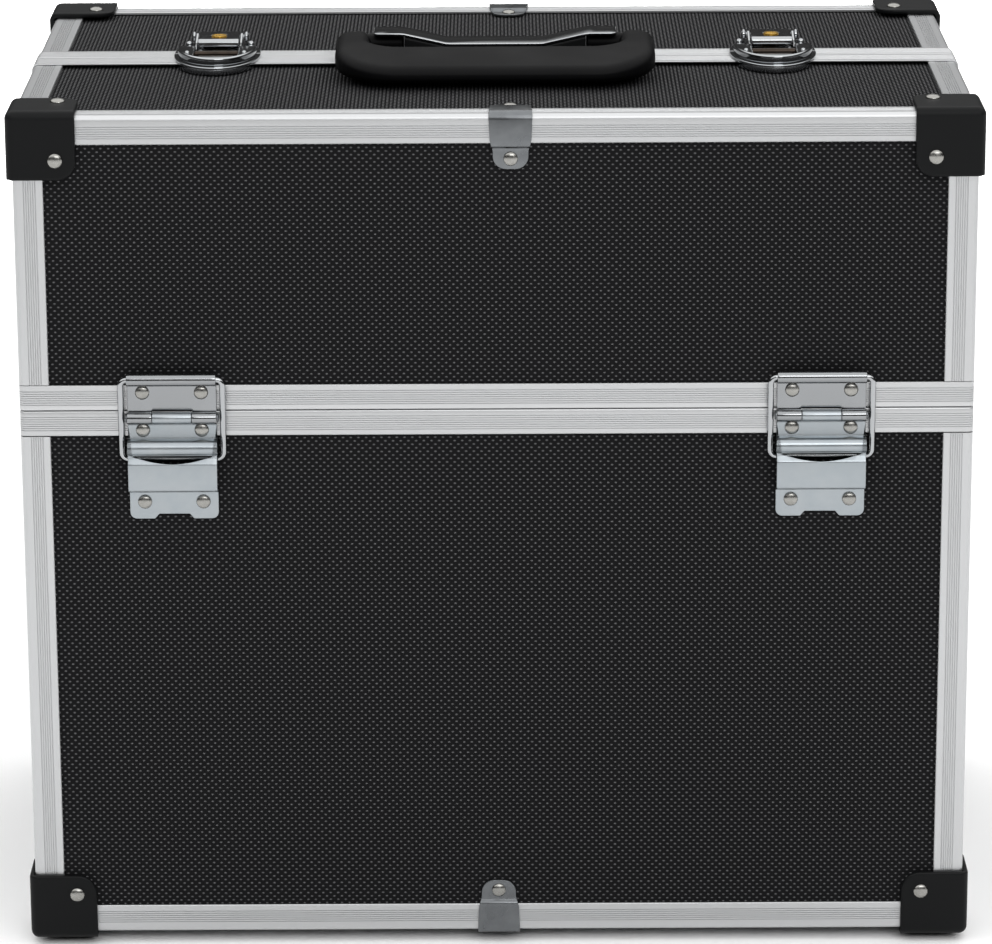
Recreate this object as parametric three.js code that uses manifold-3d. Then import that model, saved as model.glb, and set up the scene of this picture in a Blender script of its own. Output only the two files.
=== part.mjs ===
import * as THREE from 'three';
import { mergeVertices } from 'three/addons/utils/BufferGeometryUtils.js';
import Module from 'manifold-3d';

// A tall aluminium-edged tool case with two half lids that open outwards from a seam across the top.
// Millimetres. The feet stand on z = 0, the case is centred on x = y = 0 and its front faces -y.

// Case, over the aluminium profiles
const caseWidth = 450;
const caseDepth = 269.3;
const caseHeight = 404.9;
const wallSeamHeight = 263.2;
const footDrop = 6;

// Sheet, board and clearance
const profileSheet = 1.2;
const panelThickness = 3.5;
const fitGap = 0.3;
const cutOverrun = 4;
const edgeRadius = 2.5;
const curveSteps = 2;

// Widths of the aluminium profiles as seen on the faces
const sideFlange = 14.2;
const topFlange = 13.7;
const bottomFlange = 13.8;
const rimHeight = 12.15;
const seamWidth = 15.5;
const seamProud = 0.8;

// Finishes
const finishes = {
  aluminium: { color: 0xc9cacb, roughness: 0.42, metalness: 0.9 },
  panel: { color: 0x1e1f21, roughness: 0.55, metalness: 0 },
  moulding: { color: 0x232426, roughness: 0.6, metalness: 0 },
  steel: { color: 0x8f9296, roughness: 0.35, metalness: 0.95 },
  zinc: { color: 0xb0b8be, roughness: 0.38, metalness: 0.85 },
  chrome: { color: 0xd5d8db, roughness: 0.12, metalness: 1 },
  brass: { color: 0xc8a648, roughness: 0.3, metalness: 1 },
};

// Places that follow from the sizes above
const halfWidth = caseWidth / 2;
const halfDepth = caseDepth / 2;
const bottomZ = footDrop;
const topZ = bottomZ + caseHeight;
const seamZ = bottomZ + wallSeamHeight;
const halfGap = fitGap / 2;
const panelInset = profileSheet + fitGap;
const wallInside = panelInset + panelThickness;
const liningInside = wallInside + panelInset;

// Solids: three.js geometry goes in, manifold joins and cuts it
const wasm = await Module();
wasm.setup();

function solid(geometry) {
  const bare = geometry.index ? geometry.toNonIndexed() : geometry.clone();
  bare.deleteAttribute('normal');
  bare.deleteAttribute('uv');
  const merged = mergeVertices(bare, fitGap / 1000);
  return new wasm.Manifold(new wasm.Mesh({
    numProp: 3,
    vertProperties: new Float32Array(merged.attributes.position.array),
    triVerts: new Uint32Array(merged.index.array),
  }));
}

function toGeometry(manifold) {
  const mesh = manifold.getMesh();
  const geometry = new THREE.BufferGeometry();
  const points = [];
  for (const corner of mesh.triVerts) {
    points.push(...mesh.vertProperties.slice(corner * mesh.numProp, corner * mesh.numProp + 3));
  }
  geometry.setAttribute('position', new THREE.Float32BufferAttribute(points, 3));
  geometry.computeVertexNormals();
  return geometry;
}

function join(...solids) {
  return solids.reduce((whole, piece) => whole.add(piece));
}

function cut(whole, ...tools) {
  return tools.reduce((left, tool) => left.subtract(tool), whole);
}

// A block between two corners
function block(low, high) {
  const size = high.map((value, axis) => value - low[axis]);
  const geometry = new THREE.BoxGeometry(...size);
  geometry.translate(...low.map((value, axis) => value + size[axis] / 2));
  return solid(geometry);
}

function roundedRect(left, low, right, high, radius) {
  const shape = new THREE.Shape();
  shape.moveTo(left + radius, low);
  shape.lineTo(right - radius, low);
  shape.absarc(right - radius, low + radius, radius, -Math.PI / 2, 0);
  shape.lineTo(right, high - radius);
  shape.absarc(right - radius, high - radius, radius, 0, Math.PI / 2);
  shape.lineTo(left + radius, high);
  shape.absarc(left + radius, high - radius, radius, Math.PI / 2, Math.PI);
  shape.lineTo(left, low + radius);
  shape.absarc(left + radius, low + radius, radius, Math.PI, 1.5 * Math.PI);
  return shape;
}

function polygon(points) {
  return new THREE.Shape(points.map(([across, along]) => new THREE.Vector2(across, along)));
}

// Prisms of a shape, along z (drawn in x, y), along y (drawn in x, z) or along x (drawn in y, z)
function prismZ(shape, low, high, steps = curveSteps) {
  const geometry = new THREE.ExtrudeGeometry(shape, { depth: high - low, bevelEnabled: false, curveSegments: steps });
  geometry.translate(0, 0, low);
  return solid(geometry);
}

function prismY(shape, low, high, steps = curveSteps) {
  const geometry = new THREE.ExtrudeGeometry(shape, { depth: high - low, bevelEnabled: false, curveSegments: steps });
  geometry.rotateX(Math.PI / 2);
  geometry.translate(0, high, 0);
  return solid(geometry);
}

function prismX(shape, low, high, steps = curveSteps) {
  const geometry = new THREE.ExtrudeGeometry(shape, { depth: high - low, bevelEnabled: false, curveSegments: steps });
  geometry.applyMatrix4(new THREE.Matrix4().set(0, 0, 1, 0, 1, 0, 0, 0, 0, 1, 0, 0, 0, 0, 0, 1));
  geometry.translate(low, 0, 0);
  return solid(geometry);
}

// A block whose edges are all rounded
function softBlock(low, high, radius) {
  const alongZ = prismZ(roundedRect(low[0], low[1], high[0], high[1], radius), low[2], high[2]);
  const alongY = prismY(roundedRect(low[0], low[2], high[0], high[2], radius), low[1], high[1]);
  const alongX = prismX(roundedRect(low[1], low[2], high[1], high[2], radius), low[0], high[0]);
  return alongZ.intersect(alongY).intersect(alongX);
}

// A round bar along x, y or z
const barSides = 16;
function bar(axis, radius, low, high, centre, sides = barSides) {
  const geometry = new THREE.CylinderGeometry(radius, radius, high - low, sides);
  if (axis === 'x') geometry.rotateZ(Math.PI / 2);
  if (axis === 'z') geometry.rotateX(Math.PI / 2);
  const middle = (low + high) / 2;
  const place = { x: [middle, ...centre], y: [centre[0], middle, centre[1]], z: [...centre, middle] }[axis];
  geometry.translate(...place);
  return solid(geometry);
}

// A domed rivet head that stands on a face; up is the way out of the face
const rivetRadius = 3.6;
const rivetHeight = 1.7;
const rivetSides = 12;
function rivetHead(place, up, radius = rivetRadius, height = rivetHeight) {
  const outline = [new THREE.Vector2(0, -profileSheet / 2), new THREE.Vector2(radius, -profileSheet / 2)];
  const domeSteps = 3;
  for (let step = 0; step <= domeSteps; step += 1) {
    const angle = (step / domeSteps) * (Math.PI / 2);
    outline.push(new THREE.Vector2(step === domeSteps ? 0 : radius * Math.cos(angle), height * Math.sin(angle)));
  }
  const geometry = new THREE.LatheGeometry(outline, rivetSides);
  const turn = new THREE.Quaternion().setFromUnitVectors(new THREE.Vector3(0, 1, 0), new THREE.Vector3(...up));
  geometry.applyQuaternion(turn);
  geometry.translate(...place);
  return solid(geometry);
}

const toolCase = new THREE.Group();

function addMesh(name, finish, manifold, turn = [0, 0, 0], place = [0, 0, 0]) {
  const mesh = new THREE.Mesh(toGeometry(manifold), new THREE.MeshStandardMaterial(finishes[finish]));
  mesh.name = name;
  mesh.rotation.set(...turn);
  mesh.position.set(...place);
  toolCase.add(mesh);
}

const halfTurn = [0, 0, Math.PI];

// Aluminium profiles: thin angles round the case's edges, cut out of one rounded shell
const reach = caseWidth + caseHeight;
const outerCase = softBlock([-halfWidth, -halfDepth, bottomZ], [halfWidth, halfDepth, topZ], edgeRadius);

// The case's inside at a depth below its faces, run out upwards, downwards and past the seam as asked
function caseCore(inset, { bottom = bottomZ + inset, top = topZ - inset, rear = halfDepth - inset } = {}) {
  return block([-(halfWidth - inset), -(halfDepth - inset), bottom], [halfWidth - inset, rear, top]);
}

const edgeShell = outerCase.subtract(caseCore(profileSheet));
const bodyRimLow = seamZ - halfGap - rimHeight;
const lidRimTop = seamZ + halfGap + rimHeight;
const bodyWindows = [
  block([-(halfWidth - sideFlange), -reach, bottomZ + bottomFlange], [halfWidth - sideFlange, reach, topZ]),
  block([-reach, -(halfDepth - sideFlange), bottomZ + bottomFlange], [reach, halfDepth - sideFlange, topZ]),
  block(
    [-(halfWidth - bottomFlange), -(halfDepth - bottomFlange), bottomZ - cutOverrun],
    [halfWidth - bottomFlange, halfDepth - bottomFlange, bottomZ + cutOverrun],
  ),
];
const bodySlab = block([-reach, -reach, bottomZ - cutOverrun], [reach, reach, bodyRimLow - fitGap]);
addMesh('body_edge_frame', 'aluminium', cut(edgeShell.intersect(bodySlab), ...bodyWindows));

// The rim that caps the walls at the seam is a channel: it takes the panels' edges from one side
function rimChannel(low, high, floorLow, floorHigh) {
  const ring = outerCase
    .intersect(block([-reach, -reach, low], [reach, reach, high]))
    .subtract(caseCore(liningInside, { bottom: bottomZ - cutOverrun, top: topZ + cutOverrun }));
  const span = { bottom: floorLow, top: floorHigh };
  return ring.subtract(caseCore(profileSheet, span).subtract(caseCore(wallInside + fitGap, span)));
}

const bodyRimTop = seamZ - halfGap;
addMesh('body_rim_frame', 'aluminium',
  rimChannel(bodyRimLow, bodyRimTop, bottomZ, bodyRimTop - profileSheet));

// Body panels stand on the bottom panel and run up into the rim
const bodyPanelTop = bodyRimTop - profileSheet - fitGap;
const wallFoot = bottomZ + wallInside + fitGap;
addMesh('bottom_panel', 'panel', block(
  [-(halfWidth - panelInset), -(halfDepth - panelInset), bottomZ + panelInset],
  [halfWidth - panelInset, halfDepth - panelInset, bottomZ + wallInside],
));

function longWall(low, high) {
  return block([-(halfWidth - panelInset), -(halfDepth - panelInset), low],
    [halfWidth - panelInset, -(halfDepth - wallInside), high]);
}

function shortWall(side, low, high, rear) {
  const faces = [side * (halfWidth - panelInset), side * (halfWidth - wallInside)];
  return block([Math.min(...faces), -(halfDepth - wallInside - fitGap), low], [Math.max(...faces), rear, high]);
}

addMesh('body_front_panel', 'panel', longWall(wallFoot, bodyPanelTop));
addMesh('body_rear_panel', 'panel', longWall(wallFoot, bodyPanelTop), halfTurn);
const shortWallRear = halfDepth - wallInside - fitGap;
addMesh('body_left_panel', 'panel', shortWall(-1, wallFoot, bodyPanelTop, shortWallRear));
addMesh('body_right_panel', 'panel', shortWall(1, wallFoot, bodyPanelTop, shortWallRear));

// Half lids: both are the same box, the rear one turned round the case's centre line
const lidRimLow = seamZ + halfGap;
const lidPanelLow = lidRimLow + profileSheet + fitGap;
const lidPanelRear = -(halfGap + profileSheet + fitGap);
const lidWallTop = topZ - wallInside - fitGap;
const beforeSeam = -(seamWidth + fitGap);
const beforeSeamSlab = block([-reach, -reach, bottomZ], [reach, beforeSeam, topZ + reach]);

const lidWindows = [
  block([-(halfWidth - sideFlange), -reach, bottomZ], [halfWidth - sideFlange, reach, topZ - topFlange]),
  block([-reach, -(halfDepth - sideFlange), bottomZ], [reach, reach, topZ - topFlange]),
  block([-(halfWidth - sideFlange), -(halfDepth - topFlange), bottomZ], [halfWidth - sideFlange, reach, topZ + reach]),
];
const lidSlab = block([-reach, -reach, lidRimTop + fitGap], [reach, beforeSeam, topZ + reach]);
const lidEdgeFrame = cut(edgeShell.intersect(lidSlab), ...lidWindows);
const lidRimFrame = rimChannel(lidRimLow, lidRimTop, lidRimLow + profileSheet, topZ).intersect(beforeSeamSlab);

// The seam frame is a channel like the rim, but stands proud of the top and the sides
function seamChannel() {
  const radius = edgeRadius + seamProud;
  const face = roundedRect(-(halfWidth + seamProud), bottomZ, halfWidth + seamProud, topZ + seamProud, radius);
  const arch = prismY(face, -seamWidth, -halfGap)
    .subtract(block([-reach, -reach, bottomZ - cutOverrun], [reach, reach, lidRimLow]));
  const open = { bottom: bottomZ - cutOverrun, rear: reach };
  const groove = caseCore(profileSheet, open)
    .subtract(caseCore(wallInside + fitGap, open))
    .intersect(block([-reach, -reach, bottomZ - reach], [reach, -(halfGap + profileSheet), topZ]));
  return cut(arch, caseCore(liningInside, open), groove);
}

const lidSeamFrame = seamChannel();
const lidWall = longWall(lidPanelLow, lidWallTop);
const lidLeft = shortWall(-1, lidPanelLow, lidWallTop, lidPanelRear);
const lidRight = shortWall(1, lidPanelLow, lidWallTop, lidPanelRear);
const lidTop = block(
  [-(halfWidth - panelInset), -(halfDepth - panelInset), topZ - wallInside],
  [halfWidth - panelInset, lidPanelRear, topZ - panelInset],
);

for (const [lid, turn] of [['front_lid', [0, 0, 0]], ['rear_lid', halfTurn]]) {
  const turned = turn === halfTurn;
  addMesh(`${lid}_edge_frame`, 'aluminium', lidEdgeFrame, turn);
  addMesh(`${lid}_rim_frame`, 'aluminium', lidRimFrame, turn);
  addMesh(`${lid}_seam_frame`, 'aluminium', lidSeamFrame, turn);
  addMesh(`${lid}_wall_panel`, 'panel', lidWall, turn);
  addMesh(`${lid}_top_panel`, 'panel', lidTop, turn);
  addMesh(`${lid}_left_panel`, 'panel', turned ? lidRight : lidLeft, turn);
  addMesh(`${lid}_right_panel`, 'panel', turned ? lidLeft : lidRight, turn);
}

// Corner protectors: three rounded plates that meet at the corner, with a rivet in each free face
const capLeg = 30;
const capProud = 2.7;
const capLobeRadius = 9;
const capEdgeRadius = 2;
const capRivetInset = 20.5;
const footWidth = 20;
const footInset = 17.5;
const footRadius = 3;

// Drawn at a corner whose three faces look along +x, +y and +z
function cornerCap(rivetFaces) {
  const far = capLeg * 3;
  const plate = roundedRect(-capLeg, -capLeg, far, far, capLobeRadius);
  const plates = join(
    prismZ(plate, fitGap, capProud),
    prismY(plate, fitGap, capProud),
    prismX(plate, fitGap, capProud),
  );
  const cap = plates.intersect(softBlock([-far, -far, -far], [capProud, capProud, capProud], capEdgeRadius));
  const rivets = rivetFaces.map((axis) => {
    const place = [-capRivetInset, -capRivetInset, -capRivetInset];
    const up = [0, 0, 0];
    place[axis] = capProud;
    up[axis] = 1;
    return rivetHead(place, up);
  });
  return join(cap, ...rivets);
}

const topCap = cornerCap([0, 1, 2]);
const footShape = roundedRect(-footInset - footWidth / 2, -footInset - footWidth / 2,
  -footInset + footWidth / 2, -footInset + footWidth / 2, footRadius);
const footCap = join(cornerCap([0, 1]), prismZ(footShape, fitGap, footDrop));

const cornerPlaces = [
  ['right', 'rear', 1, 1, 0],
  ['left', 'rear', -1, 1, Math.PI / 2],
  ['left', 'front', -1, -1, Math.PI],
  ['right', 'front', 1, -1, -Math.PI / 2],
];
for (const [side, end, across, along, angle] of cornerPlaces) {
  addMesh(`${end}_lid_${side}_corner`, 'moulding', topCap, [0, 0, angle],
    [across * halfWidth, along * halfDepth, topZ]);
  addMesh(`${end}_${side}_foot_corner`, 'moulding', footCap, [Math.PI, 0, -angle - Math.PI / 2],
    [across * halfWidth, along * halfDepth, bottomZ]);
}

// Edge clips: a cranked steel strap over the edge profile, riveted to the panel on both legs
const clipWidth = 20.4;
const clipSheet = 1.2;
const clipEndRadius = 4;
const clipUprightLeg = 26;
const clipFlatLeg = 23.8;
const clipRivetInset = 5;
const topClipOffset = 7;
const clipRivetRadius = 3.1;

// up is 1 on a top edge and -1 on a bottom edge
function edgeClip(centre, edgeZ, up, flange) {
  const onPanel = fitGap - panelInset;
  const past = flange + fitGap;
  const sheet = clipSheet;
  const outline = [
    [onPanel, -clipUprightLeg], [onPanel, -(past + sheet)], [fitGap, -past], [fitGap, fitGap],
    [-past, fitGap], [-(past + sheet), onPanel], [-clipFlatLeg, onPanel], [-clipFlatLeg, onPanel + sheet],
    [-(past + sheet), onPanel + sheet], [-past, fitGap + sheet], [fitGap + sheet, fitGap + sheet],
    [fitGap + sheet, -past], [onPanel + sheet, -(past + sheet)], [onPanel + sheet, -clipUprightLeg],
  ];
  const strip = prismX(
    polygon(outline.map(([out, high]) => [-(halfDepth + out), edgeZ + up * high])),
    centre - clipWidth / 2,
    centre + clipWidth / 2,
  );
  const far = clipUprightLeg * 2;
  const ends = [edgeZ - up * clipUprightLeg, edgeZ + up * far];
  const left = centre - clipWidth / 2;
  const right = centre + clipWidth / 2;
  const upright = prismY(
    roundedRect(left, Math.min(...ends), right, Math.max(...ends), clipEndRadius), -reach, reach);
  const flat = prismZ(
    roundedRect(left, -(halfDepth + far), right, -(halfDepth - clipFlatLeg), clipEndRadius), -reach, reach);
  const face = -(halfDepth + onPanel + sheet);
  const top = edgeZ + up * (onPanel + sheet);
  return join(
    strip.intersect(upright).intersect(flat),
    rivetHead([centre, face, edgeZ - up * (clipUprightLeg - clipRivetInset)], [0, -1, 0], clipRivetRadius),
    rivetHead([centre, -(halfDepth - clipFlatLeg + clipRivetInset), top], [0, 0, up], clipRivetRadius),
  );
}

addMesh('front_lid_edge_clip', 'steel', edgeClip(topClipOffset, topZ, 1, topFlange));
addMesh('rear_lid_edge_clip', 'steel', edgeClip(-topClipOffset, topZ, 1, topFlange), halfTurn);
addMesh('body_front_edge_clip', 'steel', edgeClip(0, bottomZ, -1, bottomFlange));
addMesh('body_rear_edge_clip', 'steel', edgeClip(0, bottomZ, -1, bottomFlange), halfTurn);

// Hinges: a riveted leaf on the lid and one on the body, on a common pin just below the wall seam.
// They are drawn round x = 0 on the front wall; out is the distance from the wall, high is from the pin.
const hingeInset = 72;
const hingeWidth = 42;
const hingeSheet = 1.4;
const pinDrop = 2.7;
const pinRadius = 1.3;
const knuckleRadius = 2.9;
const middleKnuckle = 18.4;
const knuckleSides = 16;
const hingeRivetSpread = 13.85;
const hingeRivetRadius = 3.1;
const hingeRivetHeight = 1.4;
const upperRivetHigh = 12;
const middleRivetHigh = -6.3;
const hingeSpread = halfWidth - hingeInset;
const pinZ = seamZ - pinDrop;
const pinOut = fitGap + knuckleRadius;

// The wire bail: its upper bar turns in the upper leaf's curl, its lower bar slides in the lower channel
const wireRadius = 1.5;
const bailWidth = 48;
const bailTopHigh = 18.7;
const bailLowHigh = -20.3;
const bailLowOut = 0.95;
const bailBend = 3;
const wireSides = 10;
const bendSteps = 3;
const curlRadius = 3.1;
const curlBore = 1.85;
const curlOut = fitGap + curlRadius;

function onFront(points) {
  return polygon(points.map(([out, high]) => [-(halfDepth + out), pinZ + high]));
}

function hingeBlock(left, right, outLow, outHigh, low, high) {
  return block([left, -(halfDepth + outHigh), pinZ + low], [right, -(halfDepth + outLow), pinZ + high]);
}

function hingeBar(radius, left, right, out, high, sides = knuckleSides) {
  return bar('x', radius, left, right, [-(halfDepth + out), pinZ + high], sides);
}

function hingeRivets(out, high) {
  return [-hingeRivetSpread, hingeRivetSpread].map((across) => rivetHead(
    [across, -(halfDepth + out), pinZ + high], [0, -1, 0], hingeRivetRadius, hingeRivetHeight));
}

const hingeHalf = hingeWidth / 2;
const middleHalf = middleKnuckle / 2;
const leafOut = fitGap + hingeSheet;
const pinBore = pinRadius + fitGap;

function upperLeaf() {
  const leaf = join(
    hingeBlock(-hingeHalf, hingeHalf, fitGap, leafOut, 0, bailTopHigh),
    hingeBar(knuckleRadius, -hingeHalf, hingeHalf, pinOut, 0),
    hingeBar(curlRadius, -hingeHalf, hingeHalf, curlOut, bailTopHigh),
    ...hingeRivets(leafOut, upperRivetHigh),
  );
  const slotHalf = middleHalf + fitGap;
  const slotHigh = knuckleRadius + 2 * fitGap;
  return cut(leaf,
    hingeBlock(-slotHalf, slotHalf, -cutOverrun, pinOut + 2 * knuckleRadius, -2 * knuckleRadius, slotHigh),
    hingeBar(pinBore, -hingeWidth, hingeWidth, pinOut, 0),
    hingeBar(curlBore, -hingeWidth, hingeWidth, curlOut, bailTopHigh));
}

const rollTopHigh = -10.6;
const rollRadius = 3.9;
const rollSteps = 6;
const channelOut = 7.7;
const channelTopHigh = -21.6;
const channelLowHigh = -34.8;
const dipOut = 6.1;
const dipHigh = -19.4;
const stepDrop = 2.3;
const footRivetHigh = -42;
const footLowHigh = -50.4;
const footNotchWidth = 16.5;
const footNotchDepth = 2.4;
const footCornerRadius = 3;

// One strip of sheet, drawn as its outer side and its inner side
function lowerLeafStrip() {
  const panelOut = fitGap - panelInset;
  const rollHigh = rollTopHigh - rollRadius;
  const outer = [[leafOut, -(knuckleRadius + fitGap)], [leafOut, rollTopHigh]];
  const inner = [[fitGap, -(knuckleRadius + fitGap)], [fitGap, rollTopHigh - hingeSheet]];
  for (let step = 1; step < rollSteps; step += 1) {
    const angle = (step / rollSteps) * Math.PI;
    const out = channelOut - rollRadius + rollRadius * Math.sin(angle);
    outer.push([out, rollHigh + rollRadius * Math.cos(angle)]);
    const innerRadius = rollRadius - hingeSheet;
    inner.push([channelOut - rollRadius + innerRadius * Math.sin(angle), rollHigh + innerRadius * Math.cos(angle)]);
  }
  outer.push([dipOut, dipHigh], [channelOut, channelTopHigh], [channelOut, channelLowHigh],
    [panelOut + hingeSheet, channelLowHigh - stepDrop], [panelOut + hingeSheet, footLowHigh]);
  inner.push([dipOut - hingeSheet, dipHigh], [channelOut - hingeSheet, channelTopHigh],
    [channelOut - hingeSheet, channelLowHigh + fitGap],
    [panelOut, channelLowHigh + fitGap - stepDrop / 2], [panelOut, footLowHigh]);
  return prismX(onFront([...outer, ...inner.reverse()]), -hingeHalf, hingeHalf);
}

function lowerLeaf() {
  const outline = roundedRect(-hingeHalf, pinZ + footLowHigh, hingeHalf, pinZ + hingeWidth, footCornerRadius);
  const strip = lowerLeafStrip().intersect(prismY(outline, -reach, reach));
  const tongue = hingeBlock(-middleHalf, middleHalf, fitGap, leafOut, -(knuckleRadius + 2 * fitGap), 0);
  const leaf = join(
    strip,
    tongue,
    hingeBar(knuckleRadius, -middleHalf, middleHalf, pinOut, 0),
    ...hingeRivets(leafOut, middleRivetHigh),
    ...hingeRivets(fitGap - panelInset + hingeSheet, footRivetHigh),
  );
  const notchHalf = footNotchWidth / 2;
  return cut(leaf,
    hingeBlock(-notchHalf, notchHalf, -cutOverrun, cutOverrun, footLowHigh - cutOverrun,
      footLowHigh + footNotchDepth),
    hingeBar(pinBore, -hingeWidth, hingeWidth, pinOut, 0));
}

const pinHeadRadius = 2.2;
const pinHeadLength = 0.8;
function hingePin() {
  const end = hingeHalf + fitGap;
  return join(
    hingeBar(pinRadius, -end - pinHeadLength, end + pinHeadLength, pinOut, 0),
    hingeBar(pinHeadRadius, -end - pinHeadLength, -end, pinOut, 0),
    hingeBar(pinHeadRadius, end, end + pinHeadLength, pinOut, 0),
  );
}

// A closed loop of round wire in one plane, with a mitred ring of points at each corner of its path
function wireLoop(path, planeNormal, radius, sides) {
  const rings = path.map((point, index) => {
    const before = path[(index + path.length - 1) % path.length];
    const after = path[(index + 1) % path.length];
    const into = point.clone().sub(before).normalize();
    const outOf = after.clone().sub(point).normalize();
    const travel = into.clone().add(outOf).normalize();
    const across = new THREE.Vector3().crossVectors(travel, planeNormal);
    const stretch = radius / travel.dot(into);
    return Array.from({ length: sides }, (_, side) => {
      const angle = (side / sides) * 2 * Math.PI;
      return point.clone()
        .addScaledVector(across, stretch * Math.cos(angle))
        .addScaledVector(planeNormal, radius * Math.sin(angle));
    });
  });
  const corners = [];
  rings.forEach((ring, index) => {
    const next = rings[(index + 1) % rings.length];
    ring.forEach((point, side) => {
      const turned = (side + 1) % sides;
      corners.push(point, next[side], ring[turned], ring[turned], next[side], next[turned]);
    });
  });
  return solid(new THREE.BufferGeometry().setFromPoints(corners));
}

function wireBail() {
  const half = bailWidth / 2;
  const top = new THREE.Vector3(0, -(halfDepth + curlOut), pinZ + bailTopHigh);
  const low = new THREE.Vector3(0, -(halfDepth + bailLowOut), pinZ + bailLowHigh);
  const down = low.clone().sub(top).normalize();
  const across = new THREE.Vector3(1, 0, 0);
  const bends = [[top, 1, -1], [low, 1, 1], [low, -1, 1], [top, -1, -1]];
  const path = bends.flatMap(([level, side, inward], index) => {
    const centre = level.clone().addScaledVector(across, side * (half - bailBend));
    centre.addScaledVector(down, -inward * bailBend);
    return Array.from({ length: bendSteps + 1 }, (_, step) => {
      const angle = ((1 - index + 4 - step / bendSteps) * Math.PI) / 2;
      return centre.clone()
        .addScaledVector(across, bailBend * Math.cos(angle))
        .addScaledVector(down, -bailBend * Math.sin(angle));
    });
  });
  return wireLoop(path, new THREE.Vector3().crossVectors(across, down), wireRadius, wireSides);
}

const upperLeafSolid = upperLeaf();
const lowerLeafSolid = lowerLeaf();
const hingePinSolid = hingePin();
const bailSolid = wireBail();
for (const [end, turn, facing] of [['front', [0, 0, 0], 1], ['rear', halfTurn, -1]]) {
  for (const [side, across] of [['left', -1], ['right', 1]]) {
    const place = [across * hingeSpread, 0, 0];
    addMesh(`${end}_${side}_upper_hinge_leaf`, 'steel', upperLeafSolid, turn, place);
    addMesh(`${end}_${side}_lower_hinge_leaf`, 'zinc', lowerLeafSolid, turn, place);
    addMesh(`${end}_${side}_hinge_pin`, 'steel', hingePinSolid, turn, place);
    addMesh(`${end}_${side}_wire_bail`, 'chrome', bailSolid, turn, place);
  }
}

// Locks: a half-oval keeper dish on the front lid meets a housing with a lift-up lever on the rear lid
const lockInset = 89;
const lockWidth = 42.3;
const lockSheet = 1.4;
const keeperReach = 36;
const housingReach = 36;
const dishInset = 5;
const dishHeight = 5.2;
const recessWidth = 21;
const recessReach = 25;
const recessWall = 1.4;
const earHeight = 7;
const earSheet = 1.2;
const earNear = 2.5;
const earFar = 32;
const leverWidth = 20;
const leverNear = 7.5;
const leverPivotY = 29;
const leverTop = 7.8;
const leverSheet = 1.4;
const leverLip = 3.4;
const leverPivotRadius = 1.9;
const leverPivotHead = 2.6;
const keyRadius = 4;
const keyStandUp = 0.5;
const keyY = 17.6;
const keyDepth = 4;
const keyFlange = 0.8;
const keySlotWidth = 1.2;
const keySlotLength = 5;
const lockSpread = halfWidth - lockInset;
const lockBase = topZ + seamProud + fitGap;
const lockSteps = 5;
const leverPivotZ = lockBase + earHeight - leverPivotHead - fitGap;

// Half of an oval that ends flat at the seam; side is -1 for the front and 1 for the rear
function halfOval(side, width, reachOut, near) {
  const shape = new THREE.Shape();
  const half = width / 2;
  shape.moveTo(-half, side * near);
  shape.absellipse(0, side * near, half, reachOut - near, Math.PI, 0, side > 0);
  shape.lineTo(-half, side * near);
  return shape;
}

// The plate's free end is thick enough to reach down from the seam profile's height to the panel
function lockPlate(side, reachOut) {
  const plate = prismZ(halfOval(side, lockWidth, reachOut, halfGap), topZ - panelInset + fitGap,
    lockBase + lockSheet, lockSteps);
  const seamSide = [side * -cutOverrun, side * (seamWidth + fitGap)];
  return plate.subtract(block([-reach, Math.min(...seamSide), topZ - reach],
    [reach, Math.max(...seamSide), lockBase]));
}

function lockKeeper() {
  const plateTop = lockBase + lockSheet;
  const dish = prismZ(halfOval(-1, lockWidth - 2 * dishInset + recessWall, keeperReach - dishInset, halfGap),
    lockBase, plateTop + dishHeight - lockSheet, lockSteps);
  const recessHalf = recessWidth / 2;
  const recess = block([-recessHalf, -recessReach, plateTop],
    [recessHalf, cutOverrun, plateTop + dishHeight + cutOverrun]);
  return cut(join(lockPlate(-1, keeperReach), dish), recess);
}

function lockHousing() {
  const ears = [-1, 1].map((side) => {
    const near = side * (leverWidth / 2 + fitGap);
    const far = near + side * earSheet;
    return block([Math.min(near, far), earNear, lockBase], [Math.max(near, far), earFar, lockBase + earHeight]);
  });
  return join(lockPlate(1, housingReach), ...ears)
    .subtract(bar('x', leverPivotRadius + fitGap, -lockWidth, lockWidth, [leverPivotY, leverPivotZ]));
}

function lockLever() {
  const half = leverWidth / 2;
  const top = topZ + leverTop;
  const plate = block([-half, leverNear, top - leverSheet], [half, leverPivotY + leverPivotRadius, top]);
  const lip = block([-half, leverNear, top - leverLip], [half, leverNear + leverSheet, top]);
  const back = block([-half, leverPivotY, leverPivotZ], [half, leverPivotY + leverPivotRadius, top]);
  const pinEnd = half + fitGap + earSheet + fitGap;
  const pivot = bar('x', leverPivotRadius, -pinEnd - leverPivotHead / 2, pinEnd + leverPivotHead / 2,
    [leverPivotY, leverPivotZ]);
  const heads = [-1, 1].map((side) => rivetHead([side * (pinEnd + leverSheet / 2), leverPivotY, leverPivotZ],
    [side, 0, 0], leverPivotHead, leverPivotHead));
  return cut(join(plate, lip, back, pivot, ...heads),
    bar('z', keyRadius + fitGap, top - leverLip, top + cutOverrun, [0, keyY], knuckleSides));
}

function keyCylinder() {
  const top = topZ + leverTop + keyStandUp;
  const barrel = bar('z', keyRadius, top - keyDepth, top, [0, keyY], knuckleSides);
  return barrel.subtract(block([-keySlotLength / 2, keyY - keySlotWidth / 2, top - keyFlange],
    [keySlotLength / 2, keyY + keySlotWidth / 2, top + cutOverrun]));
}

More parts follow.
